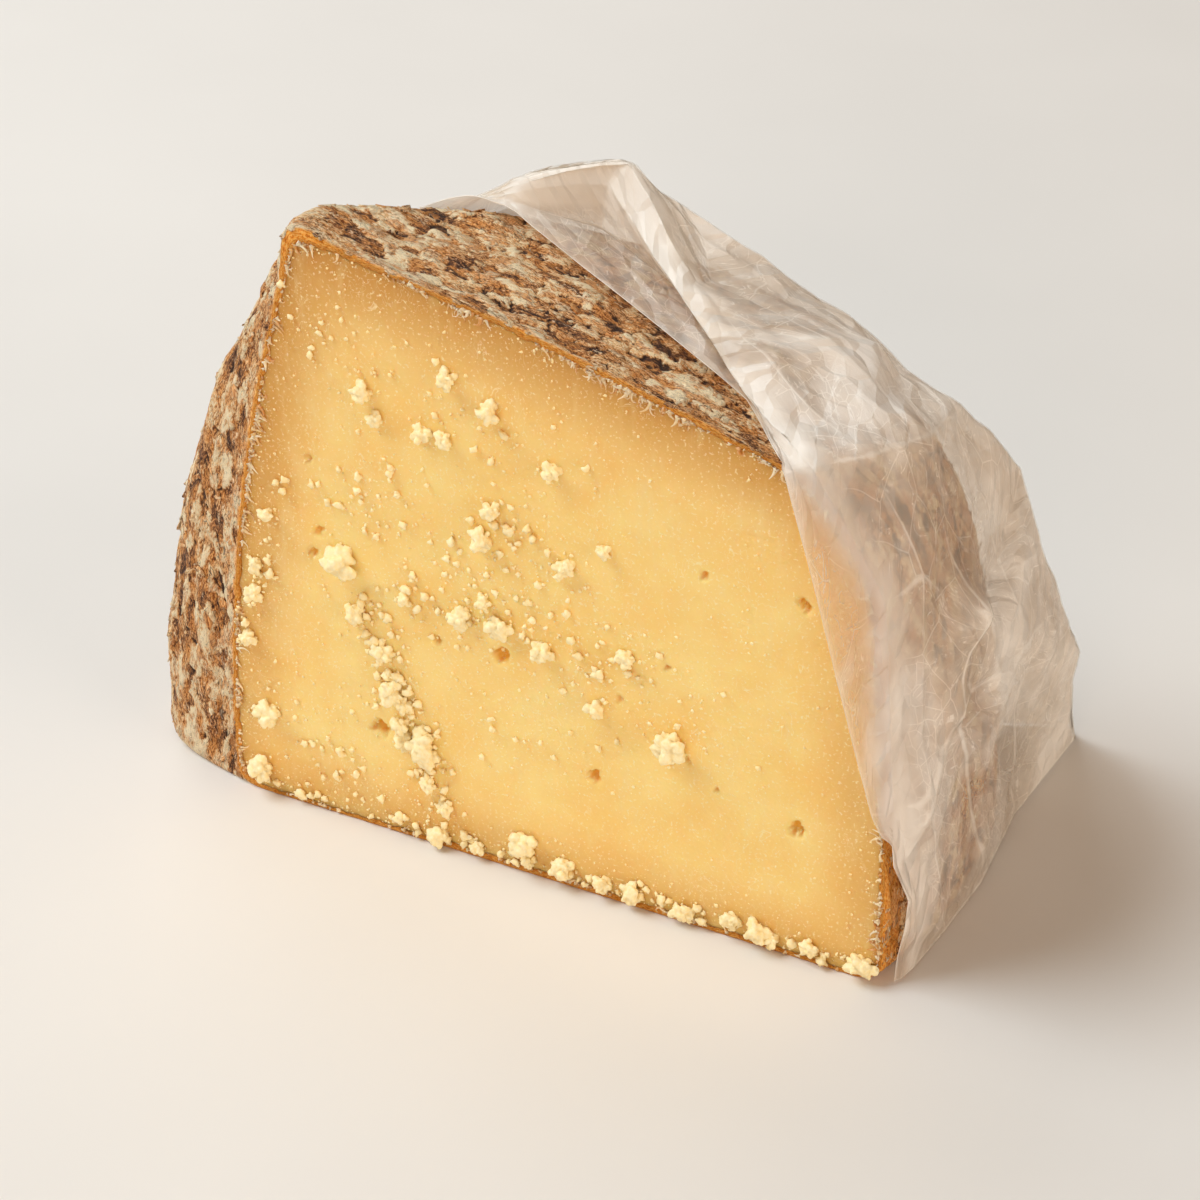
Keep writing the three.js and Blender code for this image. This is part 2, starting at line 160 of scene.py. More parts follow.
PAPER_THICKNESS = 0.16
PAPER_CLEARANCE = 1.1
PAPER_FOOT = 0.4
ROUNDED_SHARE = 0.3
STATION_STEPS = 25
PANEL_STEPS = 20
BACK_PANEL_STEPS = 44
# Fold lines of the sheet, each through the same ten stations, as in the solid model.
HEM = [
    (25, 24.5, 100.5), (38.2, 27, 102.6), (54.5, 20, 98.8), (73, 13, 94.4), (86, 8, 90.5),
    (96, -1.6, 87), (103.7, -1.6, 61.5), (112, -1.7, 33), (117.6, 1, 17), (116.6, 1, PAPER_FOOT),
]
TUCK = [
    (24.8, 25.2, 99.6), (38.1, 28, 103), (51.3, 32.5, 98), (69, 25.5, 95), (85.8, 9.5, 90.4),
    (97.5, -1.6, 87.6), (107.5, -1.6, 65), (113.2, -1.7, 33.4), (117.8, 1.8, 16.4),
    (117.4, 2.2, PAPER_FOOT),
]
PLEAT = [
    (24.6, 25.8, 98.8), (38.1, 28.6, 103.8), (53.5, 30, 107.2), (72.2, 15, 100.9),
    (85.6, 8, 92), (100.2, -1.8, 88.6), (112, -1.6, 70), (115.2, -1.4, 34.4),
    (118.2, 3.4, 15.6), (118.2, 5.5, PAPER_FOOT),
]
SLOPE = [
    (24.4, 26.3, 98), (38.2, 29.2, 104.7), (57.2, 29.5, 111.6), (73.9, 18, 101.9),
    (88.6, 11, 94.3), (105.5, 5, 87.8), (115.2, 4, 72.5), (118.4, 3, 37), (119.2, 9, 17),
    (119.4, 15, PAPER_FOOT),
]
SIDE_CREASE = [
    (24.2, 26.8, 97.2), (38, 29.8, 105.3), (57.7, 31.5, 110.2), (73.8, 24, 100.5),
    (94.5, 21, 94.6), (109.6, 16, 86.2), (118.8, 12, 62.9), (119.6, 9, 48.2), (120, 20, 24.8),
    (120.6, 29, PAPER_FOOT),
]
REAR_CREASE = [
    (24, 27.3, 96.4), (37.9, 30.4, 105.4), (56.9, 32.5, 109.6), (69.7, 30, 103),
    (91.9, 29, 93.6), (109.2, 29, 83.5), (119.5, 26, 63.3), (123.2, 30, 47.7),
    (120.6, 44, 13), (119.6, 48, PAPER_FOOT),
]
CREST = [
    (23.8, 27.8, 95.6), (37.6, 31, 105.2), (53, 31, 110.5), (66.6, 33, 105), (85.1, 34, 96),
    (108.3, 34, 81.8), (117.6, 38, 71.7), (122.5, 48, 45.3), (123.2, 60, 26.2),
    (122, 72, PAPER_FOOT),
]
BACK_BEND = [
    (23.5, 29, 93), (35.5, 35, 98.5), (50, 38.5, 100), (63, 41, 97.5), (83, 40.5, 91),
    (105.5, 39.5, 77), (115.5, 46, 64), (120.5, 56, 38), (121, 68, 18), (121.6, 73.4, PAPER_FOOT),
]
BACK_FOOT = [
    (14, 51, PAPER_FOOT), (28, 56, PAPER_FOOT), (44, 60, PAPER_FOOT), (60, 62.5, PAPER_FOOT),
    (76, 64, PAPER_FOOT), (89, 65, PAPER_FOOT), (100, 67.5, PAPER_FOOT), (109, 71, PAPER_FOOT),
    (116, 74, PAPER_FOOT), (120, 75.5, PAPER_FOOT),
]
# Creases between the fold lines: height, reach to each side, and the route, each place of it as
# the number of the fold line and of the station, counted from nought.
CREASES = [
    (1.0, 6, [(4, 5), (3.6, 5.2), (3.4, 5.7), (4, 6)]),
    (1.6, 9, [(4, 6), (4.9, 7), (6, 8)]),
    (1.5, 4, [(4, 6), (3.9, 7), (3.3, 7.05), (2.5, 7.15), (1.6, 7.25), (0.7, 7.35)]),
    (0.9, 5, [(4.9, 7), (4.6, 7.1), (4.1, 7)]),
    (0.8, 5, [(2.2, 5), (2.2, 5.7), (2.4, 6), (2.2, 6.9)]),
    (-1.3, 7, [(3.9, 2.8), (4, 3), (4.9, 3.6), (5.9, 3.9)]),
    (1.0, 5, [(5.9, 4.25), (5, 4.3), (3.9, 3.9), (3.1, 3.9)]),
    (1.0, 5, [(5, 4.3), (3.6, 4.5), (3.4, 4.8), (3, 5)]),
    (0.8, 4, [(3.6, 4.5), (4, 5), (5.6, 5), (5.9, 5)]),
    (0.8, 5, [(3, 5), (2.6, 4.6), (3.1, 3.9)]),
    (0.9, 6, [(4, 6), (5.3, 5.6), (6, 5.4)]),
    (-0.9, 6, [(4.9, 7), (5.2, 8), (5, 9)]),
    (0.8, 5, [(3.9, 7), (4.3, 7.8), (4, 8.8)]),
    (0.7, 5, [(2.6, 7.1), (3.1, 7.8), (2.7, 8.6)]),
]
FOLD_LINES = np.array(
    [HEM, TUCK, PLEAT, SLOPE, SIDE_CREASE, REAR_CREASE, CREST, BACK_BEND, BACK_FOOT], float
)

# The camera: turned round the chunk and raised above it, looking at a point on the ground.
CAMERA_AZIMUTH = 26.09
CAMERA_ELEVATION = 34.0
CAMERA_DISTANCE = 513.28
CAMERA_TARGET = np.array([30.42, 75.19, 0.0])
CAMERA_LENS = 84.0
CAMERA_SENSOR = 36.0

# Light of the room, and lamps: name, azimuth, elevation, distance and size in metres, power in
# watts, tint. They look at a point above the origin, in metres.
ROOM_COLOUR = (1.0, 0.74, 0.53, 1.0)
ROOM_STRENGTH = 0.18
LIGHTS = [
    ("key", -66, 52, 1.8, 1.25, 27.0, (0.89, 1.0, 1.07)),
    ("front", 8, 20, 3.0, 1.5, 25.0, (1.0, 0.81, 0.65)),
    ("side", 78, 12, 3.0, 1.6, 34.0, (1.0, 0.91, 0.8)),
    ("back", -130, 45, 2.2, 1.4, 11.0, (1.0, 1.0, 0.98)),
]
LIGHT_AIM = 0.03
# The floor reaches this many metres from the origin each way.
FLOOR_REACH = 3.0
FLOOR_STEPS = 24


# ------------------------------------------------------------------ numbers and noise
def lerp(a, b, t):
    return a + (b - a) * t


def smoothstep(low, high, value):
    t = np.clip((value - low) / (high - low), 0, 1)
    return t * t * (3 - 2 * t)


def smooth_max(a, b, width):
    h = np.maximum(width - np.abs(a - b), 0) / width
    return np.maximum(a, b) + h * h * width / 4


def seeded_random(seed):
    """The same draws as the solid model's own generator."""
    mask = 0xFFFFFFFF
    state = seed

    def draw():
        nonlocal state
        state = (state + 0x6D2B79F5) & mask
        t = ((state ^ (state >> 15)) * (state | 1)) & mask
        t ^= (t + (((t ^ (t >> 7)) * (t | 61)) & mask)) & mask
        return ((t ^ (t >> 14)) & mask) / 4294967296

    return draw


def lattice_value(cell):
    i, j, k = (cell[..., axis].astype(np.uint32) for axis in range(3))
    h = (i * np.uint32(374761393)) ^ (j * np.uint32(668265263)) ^ (k * np.uint32(2147483647))
    h = (h ^ (h >> np.uint32(13))) * np.uint32(1274126177)
    return (h ^ (h >> np.uint32(16))) / 4294967296.0


def noise(x, y, z=0.0):
    """Smooth value noise from 0 to 1."""
    p = np.stack(np.broadcast_arrays(x, y, z), axis=-1).astype(float)
    cell = np.floor(p)
    t = p - cell
    t = t * t * (3 - 2 * t)
    cell = cell.astype(np.int64)
    total = 0.0
    for corner in np.ndindex(2, 2, 2):
        weight = 1.0
        for axis, ahead in enumerate(corner):
            weight = weight * (t[..., axis] if ahead else 1 - t[..., axis])
        total = total + weight * lattice_value(cell + np.array(corner))
    return total


def layered_noise(x, y, z=0.0, layers=3):
    total, share, weight = 0.0, 0.0, 1.0
    for layer in range(layers):
        scale = 2.03**layer
        total = total + weight * noise(x * scale, y * scale, z * scale + 7.3 * layer)
        share += weight
        weight *= 0.5
    return total / share


def plates(x, y, seed):
    """Cells like scales of bark: each one's own number, and the closeness to its edge."""
    cell_x, cell_y = np.floor(x), np.floor(y)
    nearest, second = np.full(x.shape, 9.0), np.full(x.shape, 9.0)
    value = np.zeros(x.shape)
    for a, b in np.ndindex(3, 3):
        corner = np.stack([cell_x + a - 1, cell_y + b - 1, np.full(x.shape, seed)], axis=-1)
        corner = corner.astype(np.int64)
        shift_x, shift_y, own = (
            lattice_value(corner + np.array([0, 0, offset])) for offset in (0, 17, 31)
        )
        distance = np.hypot(corner[..., 0] + shift_x - x, corner[..., 1] + shift_y - y)
        closer = distance < nearest
        second = np.where(closer, nearest, np.minimum(second, distance))
        value = np.where(closer, own, value)
        nearest = np.minimum(nearest, distance)
    return value, second - nearest


# ------------------------------------------------------------------ the cheese's form
def polar_plan(points):
    """An outline in plan as angles round the middle of the cut face, radii and their slopes."""
    x, y = np.array(points, float).T
    angle = np.arctan2(y, x - AXIS_X)
    radius = np.hypot(x - AXIS_X, y)
    knot = np.arange(len(points))
    before, after = np.maximum(knot - 1, 0), np.minimum(knot + 1, knot[-1])
    slope = (radius[after] - radius[before]) / (angle[after] - angle[before])
    return angle, radius, slope


BELLY = polar_plan(BELLY_PLAN)
TOP = polar_plan(TOP_PLAN)


def plan_radius(plan, angle):
    knots, radius, slope = plan
    angle = np.clip(angle, 0, math.pi)
    i = np.clip(np.searchsorted(knots, angle - 1e-9), 1, len(knots) - 1)
    span = knots[i] - knots[i - 1]
    t = (angle - knots[i - 1]) / span
    return (
        (1 + 2 * t) * (1 - t) ** 2 * radius[i - 1]
        + t * (1 - t) ** 2 * span * slope[i - 1]
        + t * t * (3 - 2 * t) * radius[i]
        + t * t * (t - 1) * span * slope[i]
    )


def top_height(x):
    """Height of the top edge of the cut face."""
    fall = np.maximum(x - TOP_START, 0)
    return FACE_HEIGHT - TOP_SLOPE * fall - TOP_CURVE * fall**2


def chunk_field(x, y, z):
    """Below zero inside the smooth chunk, about the distance in millimetres outside it."""
    depth = np.maximum(y, 0)
    angle = np.arctan2(depth, x - AXIS_X)
    rise = (np.maximum(z, 0) / FACE_HEIGHT) ** WALL_LEAN_POWER
    radius = lerp(plan_radius(BELLY, angle), plan_radius(TOP, angle), rise)
    wall = np.hypot(x - AXIS_X, depth) - radius
    top = z - (top_height(x) - TOP_BACK_DROP * (depth / TOP_BACK_REACH) ** 2)
    edge = lerp(ROUND_TOP, ROUND_CORNER, smoothstep(*CORNER_SPAN, x))
    return smooth_max(smooth_max(wall, top, edge), -z, ROUND_BASE)


def field_at(points):
    return chunk_field(*np.moveaxis(points, -1, 0))


def unit(vectors):
    return vectors / np.maximum(np.linalg.norm(vectors, axis=-1, keepdims=True), 1e-9)


def outward_at(points):
    """Directions away from the chunk's smooth skin."""
    slopes = [field_at(points + shift) - field_at(points - shift) for shift in 0.2 * np.eye(3)]
    return unit(np.stack(slopes, axis=-1))


def skin_reach(around, back):
    """Direction from the middle of the cut face, and how far the skin is along it."""
    around, back = np.broadcast_arrays(around, back)
    ray = np.stack(
        [np.cos(around) * np.cos(back), np.sin(back), np.sin(around) * np.cos(back)], axis=-1
    )
    near, far = np.zeros(around.shape), np.full(around.shape, SKIN_LIMIT)
    for _ in range(30):
        middle = (near + far) / 2
        inside = field_at(FACE_MIDDLE + ray * middle[..., None]) < 0
        near = np.where(inside, middle, near)
        far = np.where(inside, far, middle)
    return ray, near


def skin_points(around, back=0.0, depth=0.0):
    """Points a given depth below the smooth skin."""
    ray, reach = skin_reach(around, back)
    return FACE_MIDDLE + ray * (reach - depth)[..., None]


def pole(depth):
    """The skin's rearmost point, a given depth below the skin."""
    return skin_points(np.zeros(1), math.pi / 2, depth)


def ring_layout():
    """Columns round the cut face, evenly spaced along each of its four sides from corner to
    corner, and the length along the edge at each, counted from the middle of the right side."""
    corners = [math.atan2(z - AXIS_Z, x - AXIS_X) % (2 * math.pi) for x, z in FACE_CORNERS]
    corners[0] -= 2 * math.pi
    corners.append(corners[0] + 2 * math.pi)
    angles = np.linspace(corners[0], corners[-1], 7201)
    points = skin_points(angles)
    steps = np.linalg.norm(np.diff(points, axis=0), axis=1)
    length = np.concatenate([[0], np.cumsum(steps)])
    columns = []
    for side, count in enumerate([SIDE_STEPS, LEVEL_STEPS, SIDE_STEPS, LEVEL_STEPS]):
        start, end = np.interp([corners[side], corners[side + 1]], angles, length)
        columns.append(start + (end - start) * np.arange(count) / count)
    along = np.concatenate(columns)
    from_right = (along - np.interp(0, angles, length)) % length[-1]
    return np.interp(along, length, angles), from_right


RING_ANGLES, RING_ALONG = ring_layout()
RING = len(RING_ANGLES)


def cut_width():
    """Width of the rind's own cut line at each column, uneven as it tears."""
    broad = layered_noise(RING_ALONG / 5.5, 2.5, layers=2)
    fine = noise(RING_ALONG, 8.5)
    return RIND_CUT * (0.3 + 0.9 * broad + 0.8 * fine)


def ridges(along, back, back_angle, height):
    """The bark ridges of the solid model."""
    ridge = noise(along / RIND_GRAIN_ALONG, back / RIND_GRAIN_ACROSS, 3.5)
    flakes = noise(along / 5, back / 5, 9.5)
    groove = 1 - np.abs(2 * ridge - 1)
    depth = RIND_RELIEF * (0.65 * groove**2 + 0.35 * flakes)
    off_base = smoothstep(0.5, 5, height)
    off_cut = lerp(0.35, 1, smoothstep(0, 4, back))
    off_pole = 1 - smoothstep(1.2, 1.5, back_angle)
    return depth * off_base * off_cut * off_pole


# ------------------------------------------------------------------ meshes
def to_frame(points):
    return (np.asarray(points) - WHOLE_MIDDLE) * METRES


def extended(values, count, fill):
    """Numbers in a row, filled up to a count."""
    return np.concatenate([values.ravel(), np.full(count - values.size, fill)])


def add_object(name, data):
    thing = bpy.data.objects.new(name, data)
    bpy.context.scene.collection.objects.link(thing)
    return thing


def add_mesh(name, points, faces, material, numbers, vectors=None):
    """A smooth mesh from points in millimetres, with named numbers and vectors at its points."""
    mesh = bpy.data.meshes.new(name)
    mesh.from_pydata(to_frame(points).tolist(), [], [list(map(int, face)) for face in faces])
    for key, values in numbers.items():
        layer = mesh.attributes.new(key, "FLOAT", "POINT")
        layer.data.foreach_set("value", np.broadcast_to(values, len(points)).astype(np.float32))
    for key, values in (vectors or {}).items():
        layer = mesh.attributes.new(key, "FLOAT_VECTOR", "POINT")
        layer.data.foreach_set("vector", np.asarray(values, np.float32).ravel())
    mesh.polygons.foreach_set("use_smooth", np.full(len(mesh.polygons), True))
    mesh.materials.append(material)
    mesh.validate()
    mesh.update()
    return add_object(name, mesh)


def grid_faces(rows, columns, first=0, closed=False, flip=False):
    """Quads of a grid of points stored row by row; closed joins the last column to the first."""
    row = np.arange(rows - 1)[:, None]
    column = np.arange(columns if closed else columns - 1)[None, :]
    right = (column + 1) % columns
    quads = [row * columns + column, row * columns + right,
             (row + 1) * columns + right, (row + 1) * columns + column]
    quads = np.stack([np.broadcast_to(q, (rows - 1, column.shape[1])) for q in quads], axis=-1)
    quads = quads.reshape(-1, 4) + first
    return quads[:, ::-1] if flip else quads


def fan(ring, tip, flip=False):
    """Triangles between a closed ring of points and a tip."""
    after = np.roll(ring, -1)
    return [[a, tip, b] for a, b in (zip(after, ring) if flip else zip(ring, after))]


def slab(upper, lower):
    """Points and faces of a closed form between two grids of points."""
    rows, columns = upper.shape[:2]
    count = rows * columns
    faces = list(grid_faces(rows, columns))
    faces += list(grid_faces(rows, columns, first=count, flip=True))
    index = np.arange(count).reshape(rows, columns)
    rim = np.concatenate([index[0], index[1:, -1], index[-1, -2::-1], index[-2:0:-1, 0]])
    faces += [[b, a, count + a, count + b] for a, b in zip(rim, np.roll(rim, -1))]
    return np.concatenate([upper.reshape(-1, 3), lower.reshape(-1, 3)]), faces


def merge_parts(parts):
    """Points and faces of many small closed forms put together, with each form's number."""
    points, faces, owner = [], [], []
    first = 0
    for number, (own_points, own_faces) in enumerate(parts):
        points.append(own_points)
        faces.extend(np.asarray(face) + first for face in own_faces)
        owner.append(np.full(len(own_points), number))
        first += len(own_points)
    return np.concatenate(points), faces, np.concatenate(owner)


def ball(subdivisions):
    """Directions and triangles of an even ball."""
    form = bmesh.new()
    bmesh.ops.create_icosphere(form, subdivisions=subdivisions, radius=1)
    form.verts.ensure_lookup_table()
    points = np.array([v.co[:] for v in form.verts])
    faces = np.array([[v.index for v in face.verts] for face in form.faces])
    form.free()
    return unit(points), faces


# ------------------------------------------------------------------ rind
def back_lengths():
    """For each column, lengths over the skin from the cut edge against angles back."""
    t = np.linspace(0, 1, 150)
    angles = math.pi / 2 * (0.02 * t + 0.98 * t**2.6)
    points = skin_points(RING_ANGLES[None, :], angles[:, None])
    steps = np.linalg.norm(np.diff(points, axis=0), axis=2)
    return angles, np.vstack([np.zeros(RING), np.cumsum(steps, axis=0)])


BACK_ANGLES, BACK_LENGTHS = back_lengths()


def skin_rows(near, far_count):
    """Rows of smooth skin points at given lengths from the cut edge, then evenly to the back."""
    far = np.linspace(0, 1, far_count + 1, endpoint=False)[1:, None]
    whole = BACK_LENGTHS[-1][None, :]
    near = np.broadcast_to(np.asarray(near, float)[:, None], (len(near), RING))
    back = np.vstack([near, lerp(near[-1:], whole, far)])
    angle = np.stack(
        [np.interp(back[:, k], BACK_LENGTHS[:, k], BACK_ANGLES) for k in range(RING)], axis=1
    )
    return skin_points(np.broadcast_to(RING_ANGLES, back.shape), angle), back, angle


def lining(depth_at_edge, depth_behind):
    """Rows of the rind's inner side, which the paste meets."""
    smooth, back, _ = skin_rows(LINING_ROWS, FAR_LINING_ROWS)
    depth = lerp(depth_at_edge, depth_behind, smoothstep(0, 4, back))
    rows = smooth - outward_at(smooth) * depth[..., None]
    rows[..., 1] = np.maximum(rows[..., 1], 0.25)
    return rows


def rind_skin():
    """The outer skin: rows of points going back from the cut edge, with their coordinates."""
    t = np.linspace(0, 1, NEAR_ROWS)
    smooth, back, angle = skin_rows(NEAR_REACH * (0.3 * t + 0.7 * t**2), FAR_ROWS)
    along = np.broadcast_to(RING_ALONG, back.shape)
    groove = ridges(along, back, angle, smooth[..., 2])

    # The top left corner stays nearly whole, where the rind turns from the side to the top.
    from_corner = along - RING_ALONG[SIDE_STEPS + LEVEL_STEPS]
    near_corner = np.exp(-((from_corner / 7) ** 2) - (back / 12) ** 2)
    groove = groove * (1 - 0.85 * near_corner) - 1.1 * near_corner

    warp = 2.4 * (layered_noise(along / 6, back / 4, 1.5) - 0.5)
    own, edge = plates((along + 2.2 * warp) / 3.6, (back + 1.3 * warp) / 1.7, 5)
    small_own, small_edge = plates((along - warp) / 1.5, (back + warp) / 0.9, 9)
    strand = 1 - np.abs(2 * layered_noise(along / 2.6 + warp, back / 0.9, 4.5, 2) - 1)
    crack = (1 - smoothstep(0, 0.16, edge)) * smoothstep(0.3, 0.6, noise(along / 4, back / 3, 8.5))
    raised = 0.42 * own + 0.26 * small_own + 0.32 * strand - 0.6 * crack
    calm = smoothstep(0.2, 2.5, smooth[..., 2]) * (1 - smoothstep(1.2, 1.5, angle))
    calm = calm * lerp(0.55, 1, smoothstep(0, 2.5, back))
    depth = groove + PLATE_RELIEF * calm * (0.62 - raised)
    points = smooth - outward_at(smooth) * depth[..., None]
    points[0, :, 1] = 0
    points[..., 1] = np.maximum(points[..., 1], 0)
    points[..., 2] = np.maximum(points[..., 2], 0)
    height = np.clip(0.35 + 0.8 * raised - 0.3 * groove / RIND_RELIEF, 0, 1)
    return points, along, back, height, own


def rind_piece(material, skin):
    """The rind: its skin, the rim round the cut face, and the inner side behind the paste."""
    outer, along, back, height, own = skin
    width = cut_width()
    rim = []
    for share, proud in RIM_LINES:
        ring = skin_points(RING_ANGLES, 0.0, width * share)
        ring[:, 1] = -proud * (0.6 + 0.8 * noise(RING_ALONG / 0.9, share * 9))
        ring[:, 2] = np.maximum(ring[:, 2], 0)
        rim.append(ring)
    inside = rim + list(lining(RIND_EDGE, RIND_BODY))
    points = np.concatenate([outer.reshape(-1, 3), *inside, pole(0.0), pole(RIND_BODY)])
    pole_out, pole_in = len(points) - 2, len(points) - 1
    first_rim = len(outer) * RING
    column = np.arange(RING)
    after = np.roll(column, -1)
    faces = list(grid_faces(len(outer), RING, closed=True, flip=True))
    faces += list(np.stack([column, after, first_rim + after, first_rim + column], axis=-1))
    faces += list(grid_faces(len(inside), RING, first=first_rim, closed=True))
    faces += fan(first_rim - RING + column, pole_out)
    faces += fan(pole_out - RING + column, pole_in, flip=True)
    grain = np.zeros((len(points), 3))
    inner_back = -np.repeat(np.arange(len(inside)) + 1.0, RING)
    grain[:-2, 0] = np.concatenate([along.ravel(), np.tile(RING_ALONG, len(inside))])
    grain[:-2, 1] = np.concatenate([back.ravel(), inner_back])
    # Low on the right the rind is bare of bloom, orange well back from the cut.
    bare = smoothstep(FACE_CORNERS[1][1], 30, outer[0, :, 2]) * (outer[0, :, 0] > AXIS_X)
    reach = lerp(0.3 + 1.3 * noise(RING_ALONG / 1.1, 4.5), 9, bare)
    numbers = {
        "tall": extended(height, len(points), 0.55),
        "plate": extended(own, len(points), 0.5),
        "cut": extended(1 - smoothstep(0, 1, back / reach), len(points), 1.0),
    }
    return add_mesh("rind", points, faces, material, numbers, {"grain": grain})


def rind_flakes(material, skin):
    """Thin scales that stand off the rind, longest along the grain."""
    outer, along, back, _, own = skin
    random = np.random.default_rng(FLAKE_SEED)
    rows, columns = 4, 3
    u = np.linspace(-0.5, 0.5, rows)[:, None]
    v = np.linspace(-0.5, 0.5, columns)[None, :]
    parts, tones, centres = [], [], []
    while len(parts) < FLAKE_COUNT:
        column = random.integers(RING)
        row = int(np.searchsorted(back[:, column], random.random() ** 1.3 * FLAKE_REACH))
        if not 2 <= row < len(outer) - 8 or outer[row, column, 2] < LOWEST_LOOSE:
            continue
        centre = outer[row, column]
        forward = unit(outer[row, (column + 2) % RING] - outer[row, column - 2])
        up = unit(np.cross(outer[row + 2, column] - outer[row - 2, column], forward))
        if up @ outward_at(centre) < 0:
            up = -up
        turn = random.normal(0, 0.6)
        side = np.cross(up, forward)
        forward, side = (
            math.cos(turn) * forward + math.sin(turn) * side,
            math.cos(turn) * side - math.sin(turn) * forward,
        )
        length = random.uniform(*FLAKE_LENGTH)
        width = length * random.uniform(*FLAKE_WIDTH_SHARE)
        lift = random.random() ** 3 * length * 0.16
        waist = 1 - 0.75 * np.abs(2 * u) ** random.uniform(1.5, 4)
        waist = waist * random.uniform(0.75, 1.2, (rows, 1))
        bend = lift * (u + 0.5) ** 2 * 2 - random.uniform(0, 0.5) * width * (2 * v) ** 2 * 0.4
        ragged = random.normal(0, 0.06, (rows, columns)) * length
        top = (
            centre
            + ((u + 0 * v) * length + ragged)[..., None] * forward
            + (v * waist * width)[..., None] * side
            + (bend + 0.02)[..., None] * up
        )
        parts.append(slab(top, top - up * random.uniform(*FLAKE_THICKNESS)))
        tones.append(np.clip(0.5 * random.random() + 0.5 * own[row, column], 0, 1))
        centres.append([along[row, column], back[row, column], 0])
    points, faces, owner = merge_parts(parts)
    points[:, 1] = np.maximum(points[:, 1], -0.4)
    points[:, 2] = np.maximum(points[:, 2], 0)
    tones = np.array(tones)[owner]
    numbers = {"tall": 0.6 + 0.4 * tones, "plate": tones, "cut": 0.0}
    grain = np.array(centres)[owner] + (points % 1.7)
    return add_mesh("rind_flakes", points, faces, material, numbers, {"grain": grain})


# ------------------------------------------------------------------ paste
def face_grid():
    """Points of the cut face spread evenly between its four sides."""
    edge = skin_points(RING_ANGLES, 0.0, cut_width())[:, [0, 2]]
    edge[:, 1] = np.maximum(edge[:, 1], 0)
    right = edge[: SIDE_STEPS + 1]
    top = edge[SIDE_STEPS : SIDE_STEPS + LEVEL_STEPS + 1][::-1]
    left = edge[SIDE_STEPS + LEVEL_STEPS : 2 * SIDE_STEPS + LEVEL_STEPS + 1][::-1]
    bottom = np.vstack([edge[2 * SIDE_STEPS + LEVEL_STEPS :], edge[:1]])
    u = np.linspace(0, 1, LEVEL_STEPS + 1)[None, :, None]
    v = np.linspace(0, 1, SIDE_STEPS + 1)[:, None, None]
    corners = (
        (1 - u) * (1 - v) * bottom[0]
        + u * (1 - v) * bottom[-1]
        + (1 - u) * v * top[0]
        + u * v * top[-1]
    )
    across = (1 - v) * bottom[None] + v * top[None]
    upward = (1 - u) * left[:, None] + u * right[:, None]
    return across + upward - corners


def ring_in_grid():
    """Where each column of the ring sits among the face grid's points, stored row by row."""
    index = np.arange((SIDE_STEPS + 1) * (LEVEL_STEPS + 1)).reshape(SIDE_STEPS + 1, -1)
    return np.concatenate([index[:-1, -1], index[-1, :0:-1], index[:0:-1, 0], index[0, :-1]])


def face_relief(x, z):
    """Depth of the cut face below its plane: slight waves, pits and eyes."""
    margin = -chunk_field(x, np.zeros_like(x), z)
    waves = 0.7 * (layered_noise(x / 17, z / 17, 4.5, 2) - 0.5)
    waves = waves + 0.22 * (layered_noise(x / 4.5, z / 4.5, 6.5, 3) - 0.5)
    pits = smoothstep(0.78, 0.9, noise(x / 1.3, z / 1.3, 12.5)) * 0.18
    depth = (waves + pits) * smoothstep(1.2, 5, margin)
    hollow = np.zeros_like(x)
    for number, (eye_x, eye_z, size) in enumerate(EYES):
        dx, dz = x - eye_x, z - eye_z
        near = (np.abs(dx) < size) & (np.abs(dz) < size)
        angle = np.arctan2(dz[near], dx[near])
        outline = 0.45 + 0.9 * noise(np.cos(angle) * 2.3 + 5 * number, np.sin(angle) * 2.3, 3.3)
        inside = outline * size / 2 - np.hypot(dx[near], dz[near])
        own = np.zeros_like(x)
        own[near] = smoothstep(0, 0.25 * size, inside) * (0.3 * size + 0.7)
        hollow = np.maximum(hollow, own)
    return depth + hollow, hollow, margin


def rind_band_tint_and_shade(x, z):
    """How near the top and the high left edge a point of the cut face is, from 0 to 1: a deeper
    orange band, partly the paste's own colour by the rind, partly painted shade from the rind
    above.
    """
    under_top = top_height(x) - z
    from_left = x - z * TOP_START / FACE_HEIGHT
    near_top = np.exp(-np.maximum(under_top, 0) / 9) * (1 - 0.35 * smoothstep(60, 105, x))
    near_left = 0.45 * np.exp(-np.maximum(from_left, 0) / 6) * smoothstep(15, 80, z)
    return np.clip(near_top + near_left, 0, 1)


def paste_piece(material):
    """The paste: the cut face with its eyes, and the sides that lie within the rind."""
    x, z = np.moveaxis(face_grid(), -1, 0)
    depth, hollow, margin = face_relief(x, z)
    face = np.stack([x, depth, z], axis=-1).reshape(-1, 3)
    ring = ring_in_grid()
    face[ring, 1] = 0
    rows = list(lining(PASTE_EDGE, PASTE_START))
    points = np.concatenate([face, *rows, pole(PASTE_START)])
    tip = len(points) - 1
    column = len(face) + np.arange(RING)
    faces = list(grid_faces(SIDE_STEPS + 1, LEVEL_STEPS + 1))
    faces += list(np.stack([ring, column, np.roll(column, -1), np.roll(ring, -1)], axis=-1))
    faces += list(grid_faces(len(rows), RING, first=len(face), closed=True, flip=True))
    faces += fan(tip - RING + np.arange(RING), tip)
    numbers = {
        "margin": extended(margin, len(points), 0.0),
        "hollow": extended(hollow, len(points), 0.0),
        "rind_band_tint_and_shade": extended(rind_band_tint_and_shade(x, z), len(points), 1.0),
        "crumb": 0.0,
    }
    return add_mesh("paste", points, faces, material, numbers)


